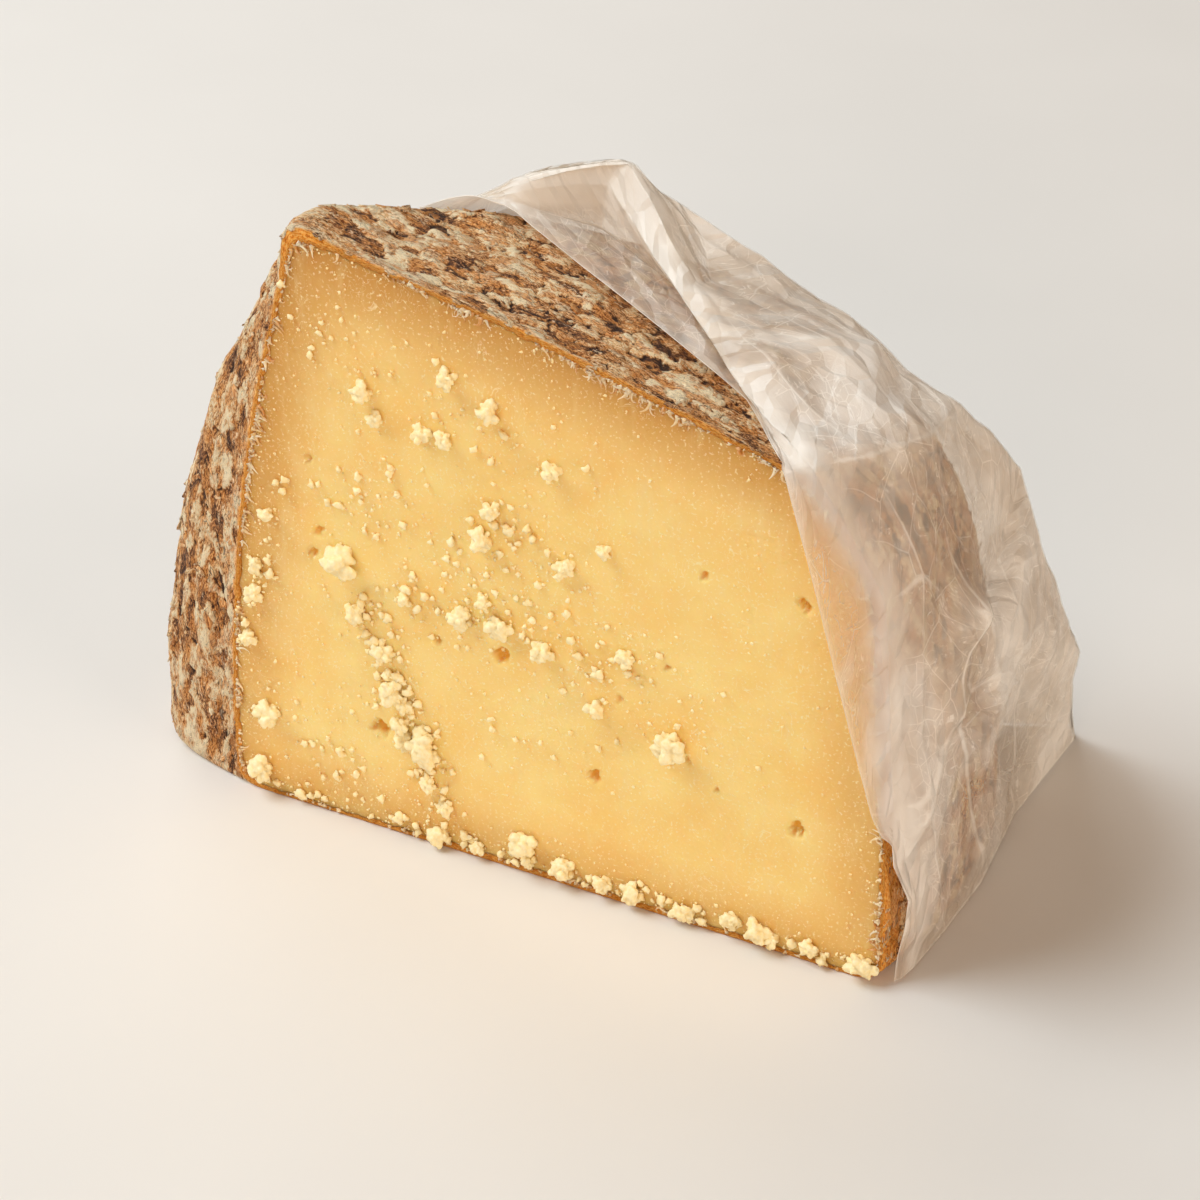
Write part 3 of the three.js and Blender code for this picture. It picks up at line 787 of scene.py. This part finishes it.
# ------------------------------------------------------------------ crumbs
def crumb_places():
    """The crumbs of the solid model: x, z and size."""
    draw = seeded_random(CRUMB_SEED)
    places = list(LARGE_CRUMBS)
    for start, end, count, size, stray in CRUMB_DRIFTS:
        for i in range(count):
            t = (i + 0.2 + 0.6 * draw()) / count
            x = lerp(start[0], end[0], t) + stray * (2 * draw() - 1)
            z = max(lerp(start[1], end[1], t) + stray * (2 * draw() - 1), size / 2)
            places.append((x, z, size * (0.8 + 0.4 * draw())))
    return [(x, max(z, size * 0.62), size) for x, z, size in places]


def fine_places():
    random = np.random.default_rng(FINE_SEED)
    places = []
    for start, end, count, least, greatest, stray in FINE_DRIFTS:
        for _ in range(count):
            t = random.random()
            x = lerp(start[0], end[0], t) + random.normal(0, stray * 0.55)
            z = lerp(start[1], end[1], t) + random.normal(0, stray * 0.55)
            size = least + (greatest - least) * random.random() ** 2.2
            if on_face(x, z, 0.5):
                places.append((x, max(z, size * 0.5), size))
    return places


def speck_places(crumbs):
    """Dust of crumbs: some anywhere, most near larger crumbs and along the left and lower edge."""
    random = np.random.default_rng(SPECK_SEED)
    places = []
    while len(places) < SPECK_COUNT:
        kind = random.random()
        if kind < 0.32:
            x, z = random.uniform(0, 114), random.uniform(0, 104)
            if random.random() < smoothstep(40, 112, x) * 0.55:
                continue
        elif kind < 0.74:
            crumb = crumbs[random.integers(len(crumbs))]
            reach = 2 + 5 * random.random()
            turn = random.uniform(0, 2 * math.pi)
            x, z = crumb[0] + reach * math.cos(turn), crumb[1] + reach * math.sin(turn)
        else:
            column = random.integers(RING)
            ray, reach = skin_reach(RING_ANGLES[column], 0.0)
            inward = reach - 1.2 - random.exponential(2.2)
            x, z = AXIS_X + ray[0] * inward, AXIS_Z + ray[2] * inward
            if x > 60 and z > 30 and random.random() < 0.6:
                continue
        if on_face(x, z, 1.0):
            size = lerp(*SPECK_SIZE, random.random() ** 3)
            places.append((x, z, size))
    return places


def on_face(x, z, margin):
    return chunk_field(np.array(x), np.array(0.0), np.array(z)) < -margin and z > 0


def crumb_forms(places, subdivisions, seed, lobes):
    """Popcorn-like lumps: several small balls grown together, roughened and pressed flat."""
    random = np.random.default_rng(seed)
    directions, faces = ball(subdivisions)
    depths = face_relief(*np.array(places)[:, :2].T)[0]
    parts = []
    for (x, z, size), depth in zip(places, depths):
        turn = np.linalg.qr(random.normal(size=(3, 3)))[0]
        if np.linalg.det(turn) < 0:
            turn[:, 0] *= -1
        spun = directions @ turn
        reach = np.zeros(len(spun))
        for _ in range(lobes):
            centre = random.normal(size=3)
            centre *= random.uniform(0.36, 0.7) / np.linalg.norm(centre)
            radius = random.uniform(0.16, 0.31)
            ahead = spun @ centre
            inside = ahead**2 - centre @ centre + radius**2
            own = np.where(inside > 0, ahead + np.sqrt(np.maximum(inside, 0)), 0)
            reach = smooth_max(reach, own, 0.05)
        reach = np.maximum(reach, 0.46)
        rough = layered_noise(*(spun * 4.4 + x).T, layers=3) - 0.5
        reach = reach * (1 + 0.5 * rough)
        form = directions * (reach * size * 0.58)[:, None]
        form[:, 1] *= 0.8
        centre = np.array([x, depth - size * CRUMB_PROUD * 0.7, z])
        points = form + centre
        points[:, 2] = np.maximum(points[:, 2], 0.02)
        parts.append((points, faces))
    return merge_parts(parts)


def crumb_piece(name, places, subdivisions, seed, lobes, material):
    """One piece of many crumbs, each paler towards its crests and of the paste's colour in its
    crevices, which paints light on the crests and shade in the crevices.
    """
    points, faces, owner = crumb_forms(places, subdivisions, seed, lobes)
    x, z, size = np.array(places, float)[owner].T
    out = np.linalg.norm(points - np.stack([x, 0 * x, z], axis=-1), axis=1) / size
    # Painted light and shade: crests pale, crevices between the lobes nearer the paste's yellow.
    crumb = 0.4 + 0.6 * smoothstep(0.22, 0.5, out)
    numbers = {"margin": 20.0, "hollow": 0.0, "rind_band_tint_and_shade": 0.0, "crumb": crumb}
    return add_mesh(name, points, faces, material, numbers)


# ------------------------------------------------------------------ torn fibres
def torn_fibres(material):
    """Shreds that hang from the rind's cut edge on to the cut face."""
    random = np.random.default_rng(FIBRE_SEED)
    sides, rings = 5, 6
    parts = []
    width = cut_width()
    while len(parts) < FIBRE_COUNT:
        column = random.integers(RING)
        ray, reach = skin_reach(RING_ANGLES[column], 0.0)
        start = FACE_MIDDLE + ray * (reach - width[column] * 0.8)
        if start[2] < LOWEST_LOOSE and random.random() < 0.7:
            continue
        if layered_noise(np.array(RING_ALONG[column] / 7.0), 3.5) < random.uniform(0.35, 0.62):
            continue
        length = FIBRE_LENGTH[0] + FIBRE_LENGTH[1] * random.random() ** 3
        heading = -ray + np.array([0, 0, -0.5 * random.random()])
        sideways = np.array([-ray[2], 0, ray[0]])
        heading = heading + sideways * random.normal(0, 0.7)
        heading[1] = 0
        heading = unit(heading)
        curl = random.normal(0, 1.5)
        radius = random.uniform(*FIBRE_RADIUS)
        path, spot = [], start + np.array([0, -FIBRE_PROUD, 0])
        for ring in range(rings):
            t = ring / (rings - 1)
            path.append(spot.copy())
            angle = curl * t * 1.3 / rings * 3
            heading = np.array([
                heading[0] * math.cos(angle) - heading[2] * math.sin(angle),
                0,
                heading[0] * math.sin(angle) + heading[2] * math.cos(angle),
            ])
            spot = spot + heading * length / (rings - 1)
            spot[1] = -FIBRE_PROUD - 0.35 * random.random() * t - 0.1 * math.sin(3 * t)
        path = np.array(path)
        path[:, 2] = np.maximum(path[:, 2], 0.25)
        parts.append(tube(path, radius * (1 - 0.88 * np.linspace(0, 1, rings) ** 0.6), sides))
    points, faces, owner = merge_parts(parts)
    numbers = {"tone": random.random(len(parts))[owner]}
    return add_mesh("torn_fibres", points, faces, material, numbers)


def tube(path, radii, sides):
    """A closed tube along a path."""
    ahead = unit(np.gradient(path, axis=0))
    across = unit(np.cross(ahead, np.array([0, 1, 0])))
    upright = np.cross(across, ahead)
    turn = np.linspace(0, 2 * math.pi, sides, endpoint=False)[None, :, None]
    ring = np.cos(turn) * across[:, None] + np.sin(turn) * upright[:, None]
    points = (path[:, None] + ring * radii[:, None, None]).reshape(-1, 3)
    last = (len(path) - 1) * sides
    faces = list(grid_faces(len(path), sides, closed=True))
    faces += [list(range(sides))[::-1], list(range(last, last + sides))]
    return points, faces


# ------------------------------------------------------------------ paper
def fold_points(station):
    """Every fold line's point at the given places between its stations."""
    i = np.minimum(np.floor(station).astype(int), FOLD_LINES.shape[1] - 2)
    t = (station - i)[None, :, None]
    last = FOLD_LINES.shape[1] - 1
    p, a, b, q = (FOLD_LINES[:, np.clip(i + shift, 0, last)] for shift in (-1, 0, 1, 2))
    straight = lerp(a, b, t)
    square = 2 * p - 5 * a + 4 * b - q
    cube = 3 * a - p - 3 * b + q
    smooth = a + 0.5 * t * (b - p + t * (square + t * cube))
    return lerp(straight, smooth, ROUNDED_SHARE)


def facets(points, size, seed):
    """Flat facets that meet in straight creases, like crumpled paper, from about -0.5 to 0.5."""
    spot = points / size
    cell = np.floor(spot).astype(np.int64)
    nearest = [np.full(points.shape[:2], 9.0), np.full(points.shape[:2], 9.0)]
    for around in np.ndindex(3, 3, 3):
        corner = cell + np.array(around) - 1
        for kind in (0, 1):
            shift = np.stack(
                [lattice_value(corner + seed + 40 * kind + 13 * axis) for axis in range(3)], axis=-1
            )
            distance = ((corner + shift - spot) ** 2).sum(axis=-1)
            nearest[kind] = np.minimum(nearest[kind], distance)
    return nearest[0] - nearest[1]


def sheet_place(line, station):
    """The point of the smooth sheet at a place counted in fold lines and stations."""
    lines = fold_points(np.array([float(station)]))[:, 0]
    before = min(int(line), len(lines) - 2)
    return lerp(lines[before], lines[before + 1], line - before)


def distance_to_route(points, route):
    places = [sheet_place(*place) for place in route]
    nearest = np.full(points.shape[:2], 1e9)
    for start, end in zip(places, places[1:]):
        run = end - start
        t = np.clip((points - start) @ run / (run @ run), 0, 1)
        aside = np.linalg.norm(points - start - t[..., None] * run, axis=-1)
        nearest = np.minimum(nearest, aside)
    return nearest


def off_chunk(points):
    """How far points are outside the chunk or in front of the plane of its cut face."""
    return np.maximum(field_at(points), -points[..., 1])


def sheet_points():
    """The crumpled sheet: rows of points up its stations, columns across its folds."""
    stations = FOLD_LINES.shape[1] - 1
    lines = fold_points(np.linspace(0, stations, stations * STATION_STEPS + 1))
    steps = [PANEL_STEPS] * (len(lines) - 2) + [BACK_PANEL_STEPS]
    columns = [
        lerp(lines[panel], lines[panel + 1], i / count)
        for panel, count in enumerate(steps)
        for i in range(count)
    ]
    points = np.array([*columns, lines[-1]]).transpose(1, 0, 2)
    share = np.concatenate([np.arange(count) / count for count in steps] + [[1.0]])
    outward = outward_at(points)
    off_floor = smoothstep(0.8, 9, points[..., 2])
    off_fold = 0.35 + 0.65 * np.sin(math.pi * share)
    crumple = 2.3 * facets(points, 21, 3) + 0.55 * facets(points, 8.5, 11)
    push = off_fold * crumple + 0.12 * facets(points, 3.6, 19)
    for height, reach, route in CREASES:
        push = push + height * np.maximum(1 - distance_to_route(points, route) / reach, 0)
    # Where the sheet lies on the cut face it is nearly flat.
    flat = 1 - smoothstep(-1.2, 1.5, points[..., 1])
    push = off_floor * push * lerp(1, 0.22, flat)
    points = points + outward * push[..., None]
    for _ in range(8):
        short = np.maximum(PAPER_CLEARANCE - off_chunk(points), 0)
        points = points + outward_at(points) * short[..., None]
    return points


def paper_piece(material, lining_look):
    """The sheet with its thickness; its inner side has the second material."""
    sheet = sheet_points()
    padded = np.pad(sheet, ((1, 1), (1, 1), (0, 0)), mode="edge")
    above, below = padded[2:, 1:-1], padded[:-2, 1:-1]
    right, left = padded[1:-1, 2:], padded[1:-1, :-2]
    along, across = above - below, right - left
    bend = np.linalg.norm(4 * sheet - above - below - right - left, axis=2)
    step = 0.25 * (np.linalg.norm(along, axis=2) + np.linalg.norm(across, axis=2))
    crease = np.clip(bend / np.maximum(step, 0.15) * 1.2, 0, 1)
    half = unit(np.cross(across, along)) * PAPER_THICKNESS / 2
    points, faces = slab(sheet + half, sheet - half)
    points[:, 2] = np.maximum(points[:, 2], 0)
    length_along, length_across = (
        np.cumsum(
            np.linalg.norm(np.diff(sheet, axis=axis, prepend=sheet.take([0], axis)), axis=2), axis
        )
        for axis in (0, 1)
    )
    grain = np.stack([length_along, length_across, 0 * length_along], axis=-1).reshape(-1, 3)
    pleat_line = [(2, station) for station in range(FOLD_LINES.shape[1])]
    numbers = {
        "crease": crease,
        "gap": off_chunk(sheet) - PAPER_CLEARANCE,
        "hem": np.exp(-length_across / 0.45),
        "cloud": layered_noise(grain[:, 0] / 17, grain[:, 1] / 12, 2.5, layers=4),
        # Along the pleat the paper is painted whiter and less clear: partly for the paper doubled
        # there, partly painted light.
        "fold": np.exp(-((distance_to_route(sheet, pleat_line) / 3.2) ** 2)),
    }
    numbers = {name: np.tile(values.ravel(), 2) for name, values in numbers.items()}
    vectors = {"grain": np.tile(grain, (2, 1))}
    piece = add_mesh("waxed_paper", points, faces, material, numbers, vectors)
    piece.data.materials.append(lining_look)
    quads = (sheet.shape[0] - 1) * (sheet.shape[1] - 1)
    side = np.zeros(len(faces), np.int32)
    side[quads : 2 * quads] = 1
    piece.data.polygons.foreach_set("material_index", side)
    return piece


# ------------------------------------------------------------------ materials
def colour(code):
    """A linear colour from a six-digit web colour."""
    parts = [int(code[i : i + 2], 16) / 255 for i in (0, 2, 4)]
    linear = [c / 12.92 if c <= 0.04045 else ((c + 0.055) / 1.055) ** 2.4 for c in parts]
    return (*linear, 1.0)


class Shader:
    """Builds one material's nodes; sockets and plain values are given alike."""

    def __init__(self, name, dimensions="3D"):
        self.dimensions = dimensions
        self.material = bpy.data.materials.new(name)
        self.material.use_nodes = True
        self.tree = self.material.node_tree
        self.tree.nodes.clear()
        self.output = self.tree.nodes.new("ShaderNodeOutputMaterial")

    def node(self, kind, inputs=None, **settings):
        node = self.tree.nodes.new(kind)
        for key, value in settings.items():
            setattr(node, key, value)
        for key, value in (inputs or {}).items():
            if isinstance(value, bpy.types.NodeSocket):
                self.tree.links.new(value, node.inputs[key])
            else:
                node.inputs[key].default_value = value
        return node

    def number(self, name):
        return self.node("ShaderNodeAttribute", attribute_name=name).outputs["Fac"]

    def vector(self, name):
        return self.node("ShaderNodeAttribute", attribute_name=name).outputs["Vector"]

    def place(self):
        """The point in the piece's own frame, in millimetres."""
        spot = self.node("ShaderNodeTexCoord").outputs["Object"]
        return self.arrow("MULTIPLY", spot, (1000, 1000, 1000))

    def arrow(self, operation, vector, other):
        node = self.node("ShaderNodeVectorMath", {0: vector, 1: other}, operation=operation)
        return node.outputs[0]

    def noise(self, vector, scale, detail=4.0, roughness=0.55, distortion=0.0):
        """Layered noise; the scale is one number, or one for each axis."""
        if isinstance(scale, tuple):
            vector, scale = self.arrow("MULTIPLY", vector, scale), 1.0
        inputs = {"Vector": vector, "Scale": scale, "Detail": detail, "Roughness": roughness}
        inputs["Distortion"] = distortion
        node = self.node("ShaderNodeTexNoise", inputs, noise_dimensions=self.dimensions)
        return node.outputs["Fac"]

    def cells(self, vector, feature="F1"):
        node = self.node(
            "ShaderNodeTexVoronoi", {"Vector": vector, "Scale": 1.0},
            feature=feature, voronoi_dimensions=self.dimensions,
        )
        return node.outputs["Distance"]

    def cracks(self, vector, scale, width, depth):
        """A net of straight lines, a given depth on the line and 0 beside it."""
        edge = self.cells(self.arrow("MULTIPLY", vector, scale), "DISTANCE_TO_EDGE")
        return self.between(edge, 0, width, depth, 0)

    def facets(self, vector, scale):
        """Height of flat facets with straight creases, as in the sheet's own form."""
        vector = self.arrow("MULTIPLY", vector, scale)
        moved = [self.arrow("ADD", vector, (offset,) * 3) for offset in (0.0, 31.7)]
        return self.math("SUBTRACT", *(self.math("POWER", self.cells(v), 2.0) for v in moved))

    def line(self, vector, scale, width, detail):
        """Thin wandering lines, 1 on the line and 0 beside it."""
        off = self.math("SUBTRACT", self.noise(vector, scale, detail, 0.6, 0.8), 0.5)
        return self.between(self.math("ABSOLUTE", off, 0.0), 0.0, width, 1, 0)

    def math(self, operation, first, *others):
        """Numbers joined one after another by the same operation."""
        for other in others:
            node = self.node("ShaderNodeMath", {0: first, 1: other}, operation=operation)
            first = node.outputs[0]
        return first

    def times(self, *values):
        return self.math("MULTIPLY", *values)

    def plus(self, *values):
        return self.math("ADD", *values)

    def most(self, *values):
        return self.math("MAXIMUM", *values)

    def between(self, value, low, high, to_low=0.0, to_high=1.0):
        inputs = {"Value": value, "From Min": low, "From Max": high, "To Min": to_low}
        inputs["To Max"] = to_high
        node = self.node("ShaderNodeMapRange", inputs, interpolation_type="SMOOTHSTEP")
        return node.outputs["Result"]

    def mix(self, share, a, b):
        """A colour mixed towards another, which is a socket or a six-digit web colour."""
        b = colour(b) if isinstance(b, str) else b
        return self.node("ShaderNodeMix", {0: share, 6: a, 7: b}, data_type="RGBA").outputs[2]

    def ramp(self, value, stops):
        node = self.node("ShaderNodeValToRGB", {"Fac": value})
        elements = node.color_ramp.elements
        while len(elements) < len(stops):
            elements.new(0.5)
        for element, (position, code) in zip(elements, stops):
            element.position = position
            element.color = colour(code)
        return node.outputs["Color"]

    def bump(self, height, distance, strength):
        """A normal bent by a height; the distance is in millimetres."""
        inputs = {"Height": height, "Distance": distance * METRES, "Strength": strength}
        return self.node("ShaderNodeBump", inputs).outputs["Normal"]

    def solid(self, base, roughness, inputs, specular=0.35):
        inputs = {"Roughness": roughness, "Specular IOR Level": specular, **inputs}
        return self.node("ShaderNodeBsdfPrincipled", {"Base Color": base, **inputs}).outputs[0]

    def film(self, front, tint, glow, cover, clear=(1.0, 1.0, 1.0, 1.0)):
        """A thin sheet: its front, the light that glows through it, and what shows through."""
        through = self.node("ShaderNodeBsdfTranslucent", {"Color": tint}).outputs[0]
        lit = self.node("ShaderNodeMixShader", {0: glow, 1: front, 2: through}).outputs[0]
        bare = self.node("ShaderNodeBsdfTransparent", {"Color": clear}).outputs[0]
        return self.node("ShaderNodeMixShader", {0: cover, 1: bare, 2: lit}).outputs[0]

    def finish(self, surface):
        self.tree.links.new(surface, self.output.inputs["Surface"])
        return self.material


def paste_material():
    """Paste and crumbs: darker by the rind, with painted shade under the top rind, in the eyes and
    in the crumbs' crevices, flecked and scratched, crumbs paler than the face.
    """
    s = Shader("paste")
    place = s.place()
    margin, hollow, crumb = s.number("margin"), s.number("hollow"), s.number("crumb")
    body = s.ramp(s.noise(place, 0.09, 2), [(0.3, "fbd07b"), (0.7, "ffdf91")])
    body = s.mix(s.between(margin, 1, 15, 0.6, 0), body, "cf9440")
    # Partly the paste's own deeper colour by the rind, partly painted shade from the rind above,
    # along the top and high left edge.
    body = s.mix(s.times(s.number("rind_band_tint_and_shade"), 0.7), body, "bf7c26")
    streaks = s.noise(place, (0.56, 1.6, 0.112), 3)
    body = s.mix(s.between(streaks, 0.5, 0.85, 0, 0.35), body, "f4dc9f")
    body = s.mix(s.between(margin, 0.4, 2.4, 0.6, 0), body, "d8913f")
    # Painted shade: the eyes are painted a deeper orange in their hollows.
    body = s.mix(s.between(hollow, 0.1, 1.4, 0, 0.85), body, "f2b63a")
    flecks = s.noise(place, 1.9, 3)
    body = s.mix(s.between(flecks, 0.56, 0.7, 0, 0.6), body, "fff0c4")
    where = s.noise(place, 0.13, 1)
    scratches = s.line(place, (0.32, 1, 0.2), 0.008, 2)
    scratches = s.times(scratches, s.between(where, 0.45, 0.62, 0, 0.5))
    body = s.mix(scratches, body, "fff0c4")
    # The crumbs' share is lower in their crevices, which paints shade there.
    base = s.mix(crumb, body, s.ramp(flecks, [(0.3, "ffe7a6"), (0.7, "fff4cc")]))
    return s.finish(s.solid(base, s.between(flecks, 0.3, 0.7, 0.42, 0.58), {
        "Subsurface Weight": s.between(crumb, 0, 0.35, 0.5, 0),
        "Subsurface Radius": (1.0, 0.55, 0.2),
        "Subsurface Scale": 0.0035,
        "Normal": s.bump(s.noise(place, 1.3, 2), 0.22, 0.6),
    }))


def rind_material():
    """Bark: brown to tan plates, rusty and pale bloomed patches, painted shade in the grooves and
    thin crevices, an orange cut edge.
    """
    s = Shader("rind", "2D")
    grain = s.vector("grain")
    tall, plate, cut = s.number("tall"), s.number("plate"), s.number("cut")
    fine = s.noise(grain, (1.3, 3.4, 1), 3, 0.8)
    broad = s.noise(grain, (0.22, 0.55, 1), 3, 0.7)
    # The raised plates are a little paler: partly painted light on the ridges.
    mixed = s.plus(s.times(fine, 0.55), s.times(plate, 0.3), s.times(tall, 0.15))
    wood = s.ramp(mixed, [
        (0.36, "402719"), (0.42, "8f582f"), (0.47, "d8965a"), (0.53, "f6cb92"), (0.6, "ffeac2"),
    ])
    rusty = s.between(s.noise(grain, (0.24, 0.6, 1), 3), 0.46, 0.6, 0, 0.8)
    wood = s.mix(rusty, wood, s.ramp(fine, [(0.36, "7c3f18"), (0.46, "cd7a30"), (0.56, "f3ae62")]))
    bloom = s.between(s.plus(broad, s.times(fine, 0.5), s.times(tall, 0.3)), 1.04, 1.12, 0, 0.6)
    wood = s.mix(bloom, wood, s.ramp(fine, [(0.38, "7d6048"), (0.48, "dfc194"), (0.58, "ffeccc")]))
    # Painted shade: the low places of the rind are painted near black.
    wood = s.mix(s.between(tall, 0.2, 0.46, 0.9, 0), wood, "38241a")
    # Painted shade: thin dark lines stand for the shade in narrow crevices.
    where = s.between(s.noise(grain, (0.2, 0.3, 1), 2), 0.42, 0.58)
    crevice_shade = s.times(s.line(grain, (0.28, 0.8, 1), 0.02, 3), where)
    crevice_shade = s.most(crevice_shade, s.times(s.line(grain, (0.8, 2.4, 1), 0.03, 2), 0.5))
    wood = s.mix(s.times(crevice_shade, 0.85), wood, "3a261b")
    orange = s.ramp(fine, [(0.36, "cc6a06"), (0.48, "fa9a1c"), (0.62, "ffc768")])
    wood = s.mix(s.times(cut, 0.96), wood, orange)
    rough = s.between(fine, 0.3, 0.7, 0.75, 0.55)
    return s.finish(s.solid(wood, rough, {"Normal": s.bump(mixed, 0.9, 0.9)}))


def fibre_material():
    s = Shader("fibres")
    base = s.ramp(s.number("tone"), [(0.1, "d08b3e"), (0.4, "e9bd80"), (0.9, "f8e4be")])
    base = s.mix(s.between(s.noise(s.place(), 2.5, 3), 0.4, 0.7, 0, 0.4), base, "f9ead0")
    return s.finish(s.solid(base, 0.55, {
        "Subsurface Weight": 0.25,
        "Subsurface Radius": (1.0, 0.6, 0.3),
        "Subsurface Scale": 0.001,
    }))


def paper_material():
    """Waxed paper: white where it is creased, and less clear where it stands off the chunk."""
    s = Shader("paper", "2D")
    grain = s.vector("grain")
    crease, gap, hem, cloud, fold = (
        s.number(name) for name in ("crease", "gap", "hem", "cloud", "fold")
    )
    fibre = s.noise(grain, (0.25, 0.7, 1), 3, 0.65)
    curls = s.times(s.line(grain, (0.16, 0.2, 1), 0.02, 3), s.between(fibre, 0.4, 0.6, 0, 0.8))
    straight = s.cracks(grain, (0.1, 0.13, 1), 0.018, 0.6)
    small = s.times(s.cracks(grain, (0.3, 0.42, 1), 0.035, 0.7), s.between(cloud, 0.46, 0.56))
    bent = s.between(crease, 0.2, 0.9, 0, 0.8)
    # The pleat band adds to the white: partly painted light on the pleat.
    white = s.most(curls, straight, small, bent, hem, s.times(fold, 0.9))
    body = s.ramp(cloud, [(0.3, "f8e9d6"), (0.5, "fcf2e6"), (0.72, "fffaf4")])
    body = s.mix(s.times(white, 0.8), body, "fffbf4")
    cover = s.plus(s.between(cloud, 0.36, 0.64, 0.26, 0.68), s.between(gap, 0.0, 8.0, 0, 0.3))
    cover = s.times(cover, s.between(gap, 0.0, 1.6, 0.76, 1.0))
    cover = s.math("MINIMUM", s.plus(cover, s.times(white, 0.4)), 0.96)
    height = s.plus(s.facets(grain, (0.22, 0.27, 1)), s.times(fibre, 0.15))
    front = s.solid(body, 0.36, {"Normal": s.bump(height, 0.9, 0.8)}, specular=0.5)
    return s.finish(s.film(front, body, 0.2, cover, (1.0, 0.97, 0.93, 1.0)))


def paper_lining_material():
    """The paper's inner side, which adds little of its own to what the outer side shows."""
    s = Shader("paper_lining")
    tint = colour("f6ead8")
    front = s.node("ShaderNodeBsdfDiffuse", {"Color": tint}).outputs[0]
    return s.finish(s.film(front, tint, 0.4, 0.14))


def floor_material():
    s = Shader("floor")
    place = s.place()
    tint = s.ramp(s.noise(place, 0.012, 2), [(0.3, "e5e0da"), (0.7, "e8e3dd")])
    normal = s.bump(s.noise(place, 0.15, 1), 0.15, 0.2)
    return s.finish(s.solid(tint, 0.85, {"Normal": normal}, specular=0.2))


# ------------------------------------------------------------------ camera, light and floor
def view_direction(azimuth, elevation):
    a, e = math.radians(azimuth), math.radians(elevation)
    return Vector((math.sin(a) * math.cos(e), -math.cos(a) * math.cos(e), math.sin(e)))


def make_camera():
    data = bpy.data.cameras.new("camera")
    data.lens = CAMERA_LENS
    data.sensor_width = CAMERA_SENSOR
    camera = add_object("camera", data)
    back = view_direction(CAMERA_AZIMUTH, CAMERA_ELEVATION)
    target = Vector(to_frame(CAMERA_TARGET))
    camera.location = target + back * CAMERA_DISTANCE * METRES
    camera.rotation_mode = "QUATERNION"
    camera.rotation_quaternion = (-back).to_track_quat("-Z", "Y")
    bpy.context.scene.camera = camera


def add_light(name, azimuth, elevation, distance, size, power, tint):
    """A round lamp that looks at the chunk; its distance and size are in metres."""
    data = bpy.data.lights.new(name, "AREA")
    data.shape = "DISK"
    data.size = size
    data.energy = power
    data.color = tint
    light = add_object(name, data)
    back = view_direction(azimuth, elevation)
    light.location = Vector((0, 0, LIGHT_AIM)) + back * distance
    light.rotation_mode = "QUATERNION"
    light.rotation_quaternion = back.to_track_quat("Z", "Y")


def make_room():
    world = bpy.data.worlds.new("room")
    bpy.context.scene.world = world
    world.use_nodes = True
    background = world.node_tree.nodes["Background"]
    background.inputs["Color"].default_value = ROOM_COLOUR
    background.inputs["Strength"].default_value = ROOM_STRENGTH
    for name, *settings in LIGHTS:
        add_light(name, *settings)
    bpy.context.scene.view_settings.view_transform = "Standard"

    form = bmesh.new()
    bmesh.ops.create_grid(form, x_segments=FLOOR_STEPS, y_segments=FLOOR_STEPS, size=FLOOR_REACH)
    mesh = bpy.data.meshes.new("floor")
    form.to_mesh(mesh)
    form.free()
    mesh.materials.append(floor_material())
    floor = add_object("floor", mesh)


# ------------------------------------------------------------------ the whole
def dress():
    paste_look, rind_look = paste_material(), rind_material()
    skin = rind_skin()
    rind = rind_piece(rind_look, skin)
    flakes = rind_flakes(rind_look, skin)
    paste = paste_piece(paste_look)
    crumbs = crumb_places()
    fine = fine_places()
    specks = speck_places(crumbs + fine)
    large = crumb_piece("crumbs", crumbs, *LARGE_FORM, paste_look)
    small = crumb_piece("fine_crumbs", fine, *FINE_FORM, paste_look)
    dust = crumb_piece("crumb_dust", specks, *DUST_FORM, paste_look)
    fibres = torn_fibres(fibre_material())
    paper = paper_piece(paper_material(), paper_lining_material())
    for piece, slot in (
        (rind, "rind"), (flakes, "rind"), (fibres, "rind"), (paste, "paste"),
        (large, "paste"), (small, "paste"), (dust, "paste"), (paper, "paper"),
    ):
        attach(piece, "root")
    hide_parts("cheese")
    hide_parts("cheese")
    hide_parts("wrapper")


make_camera()
make_room()
dress()
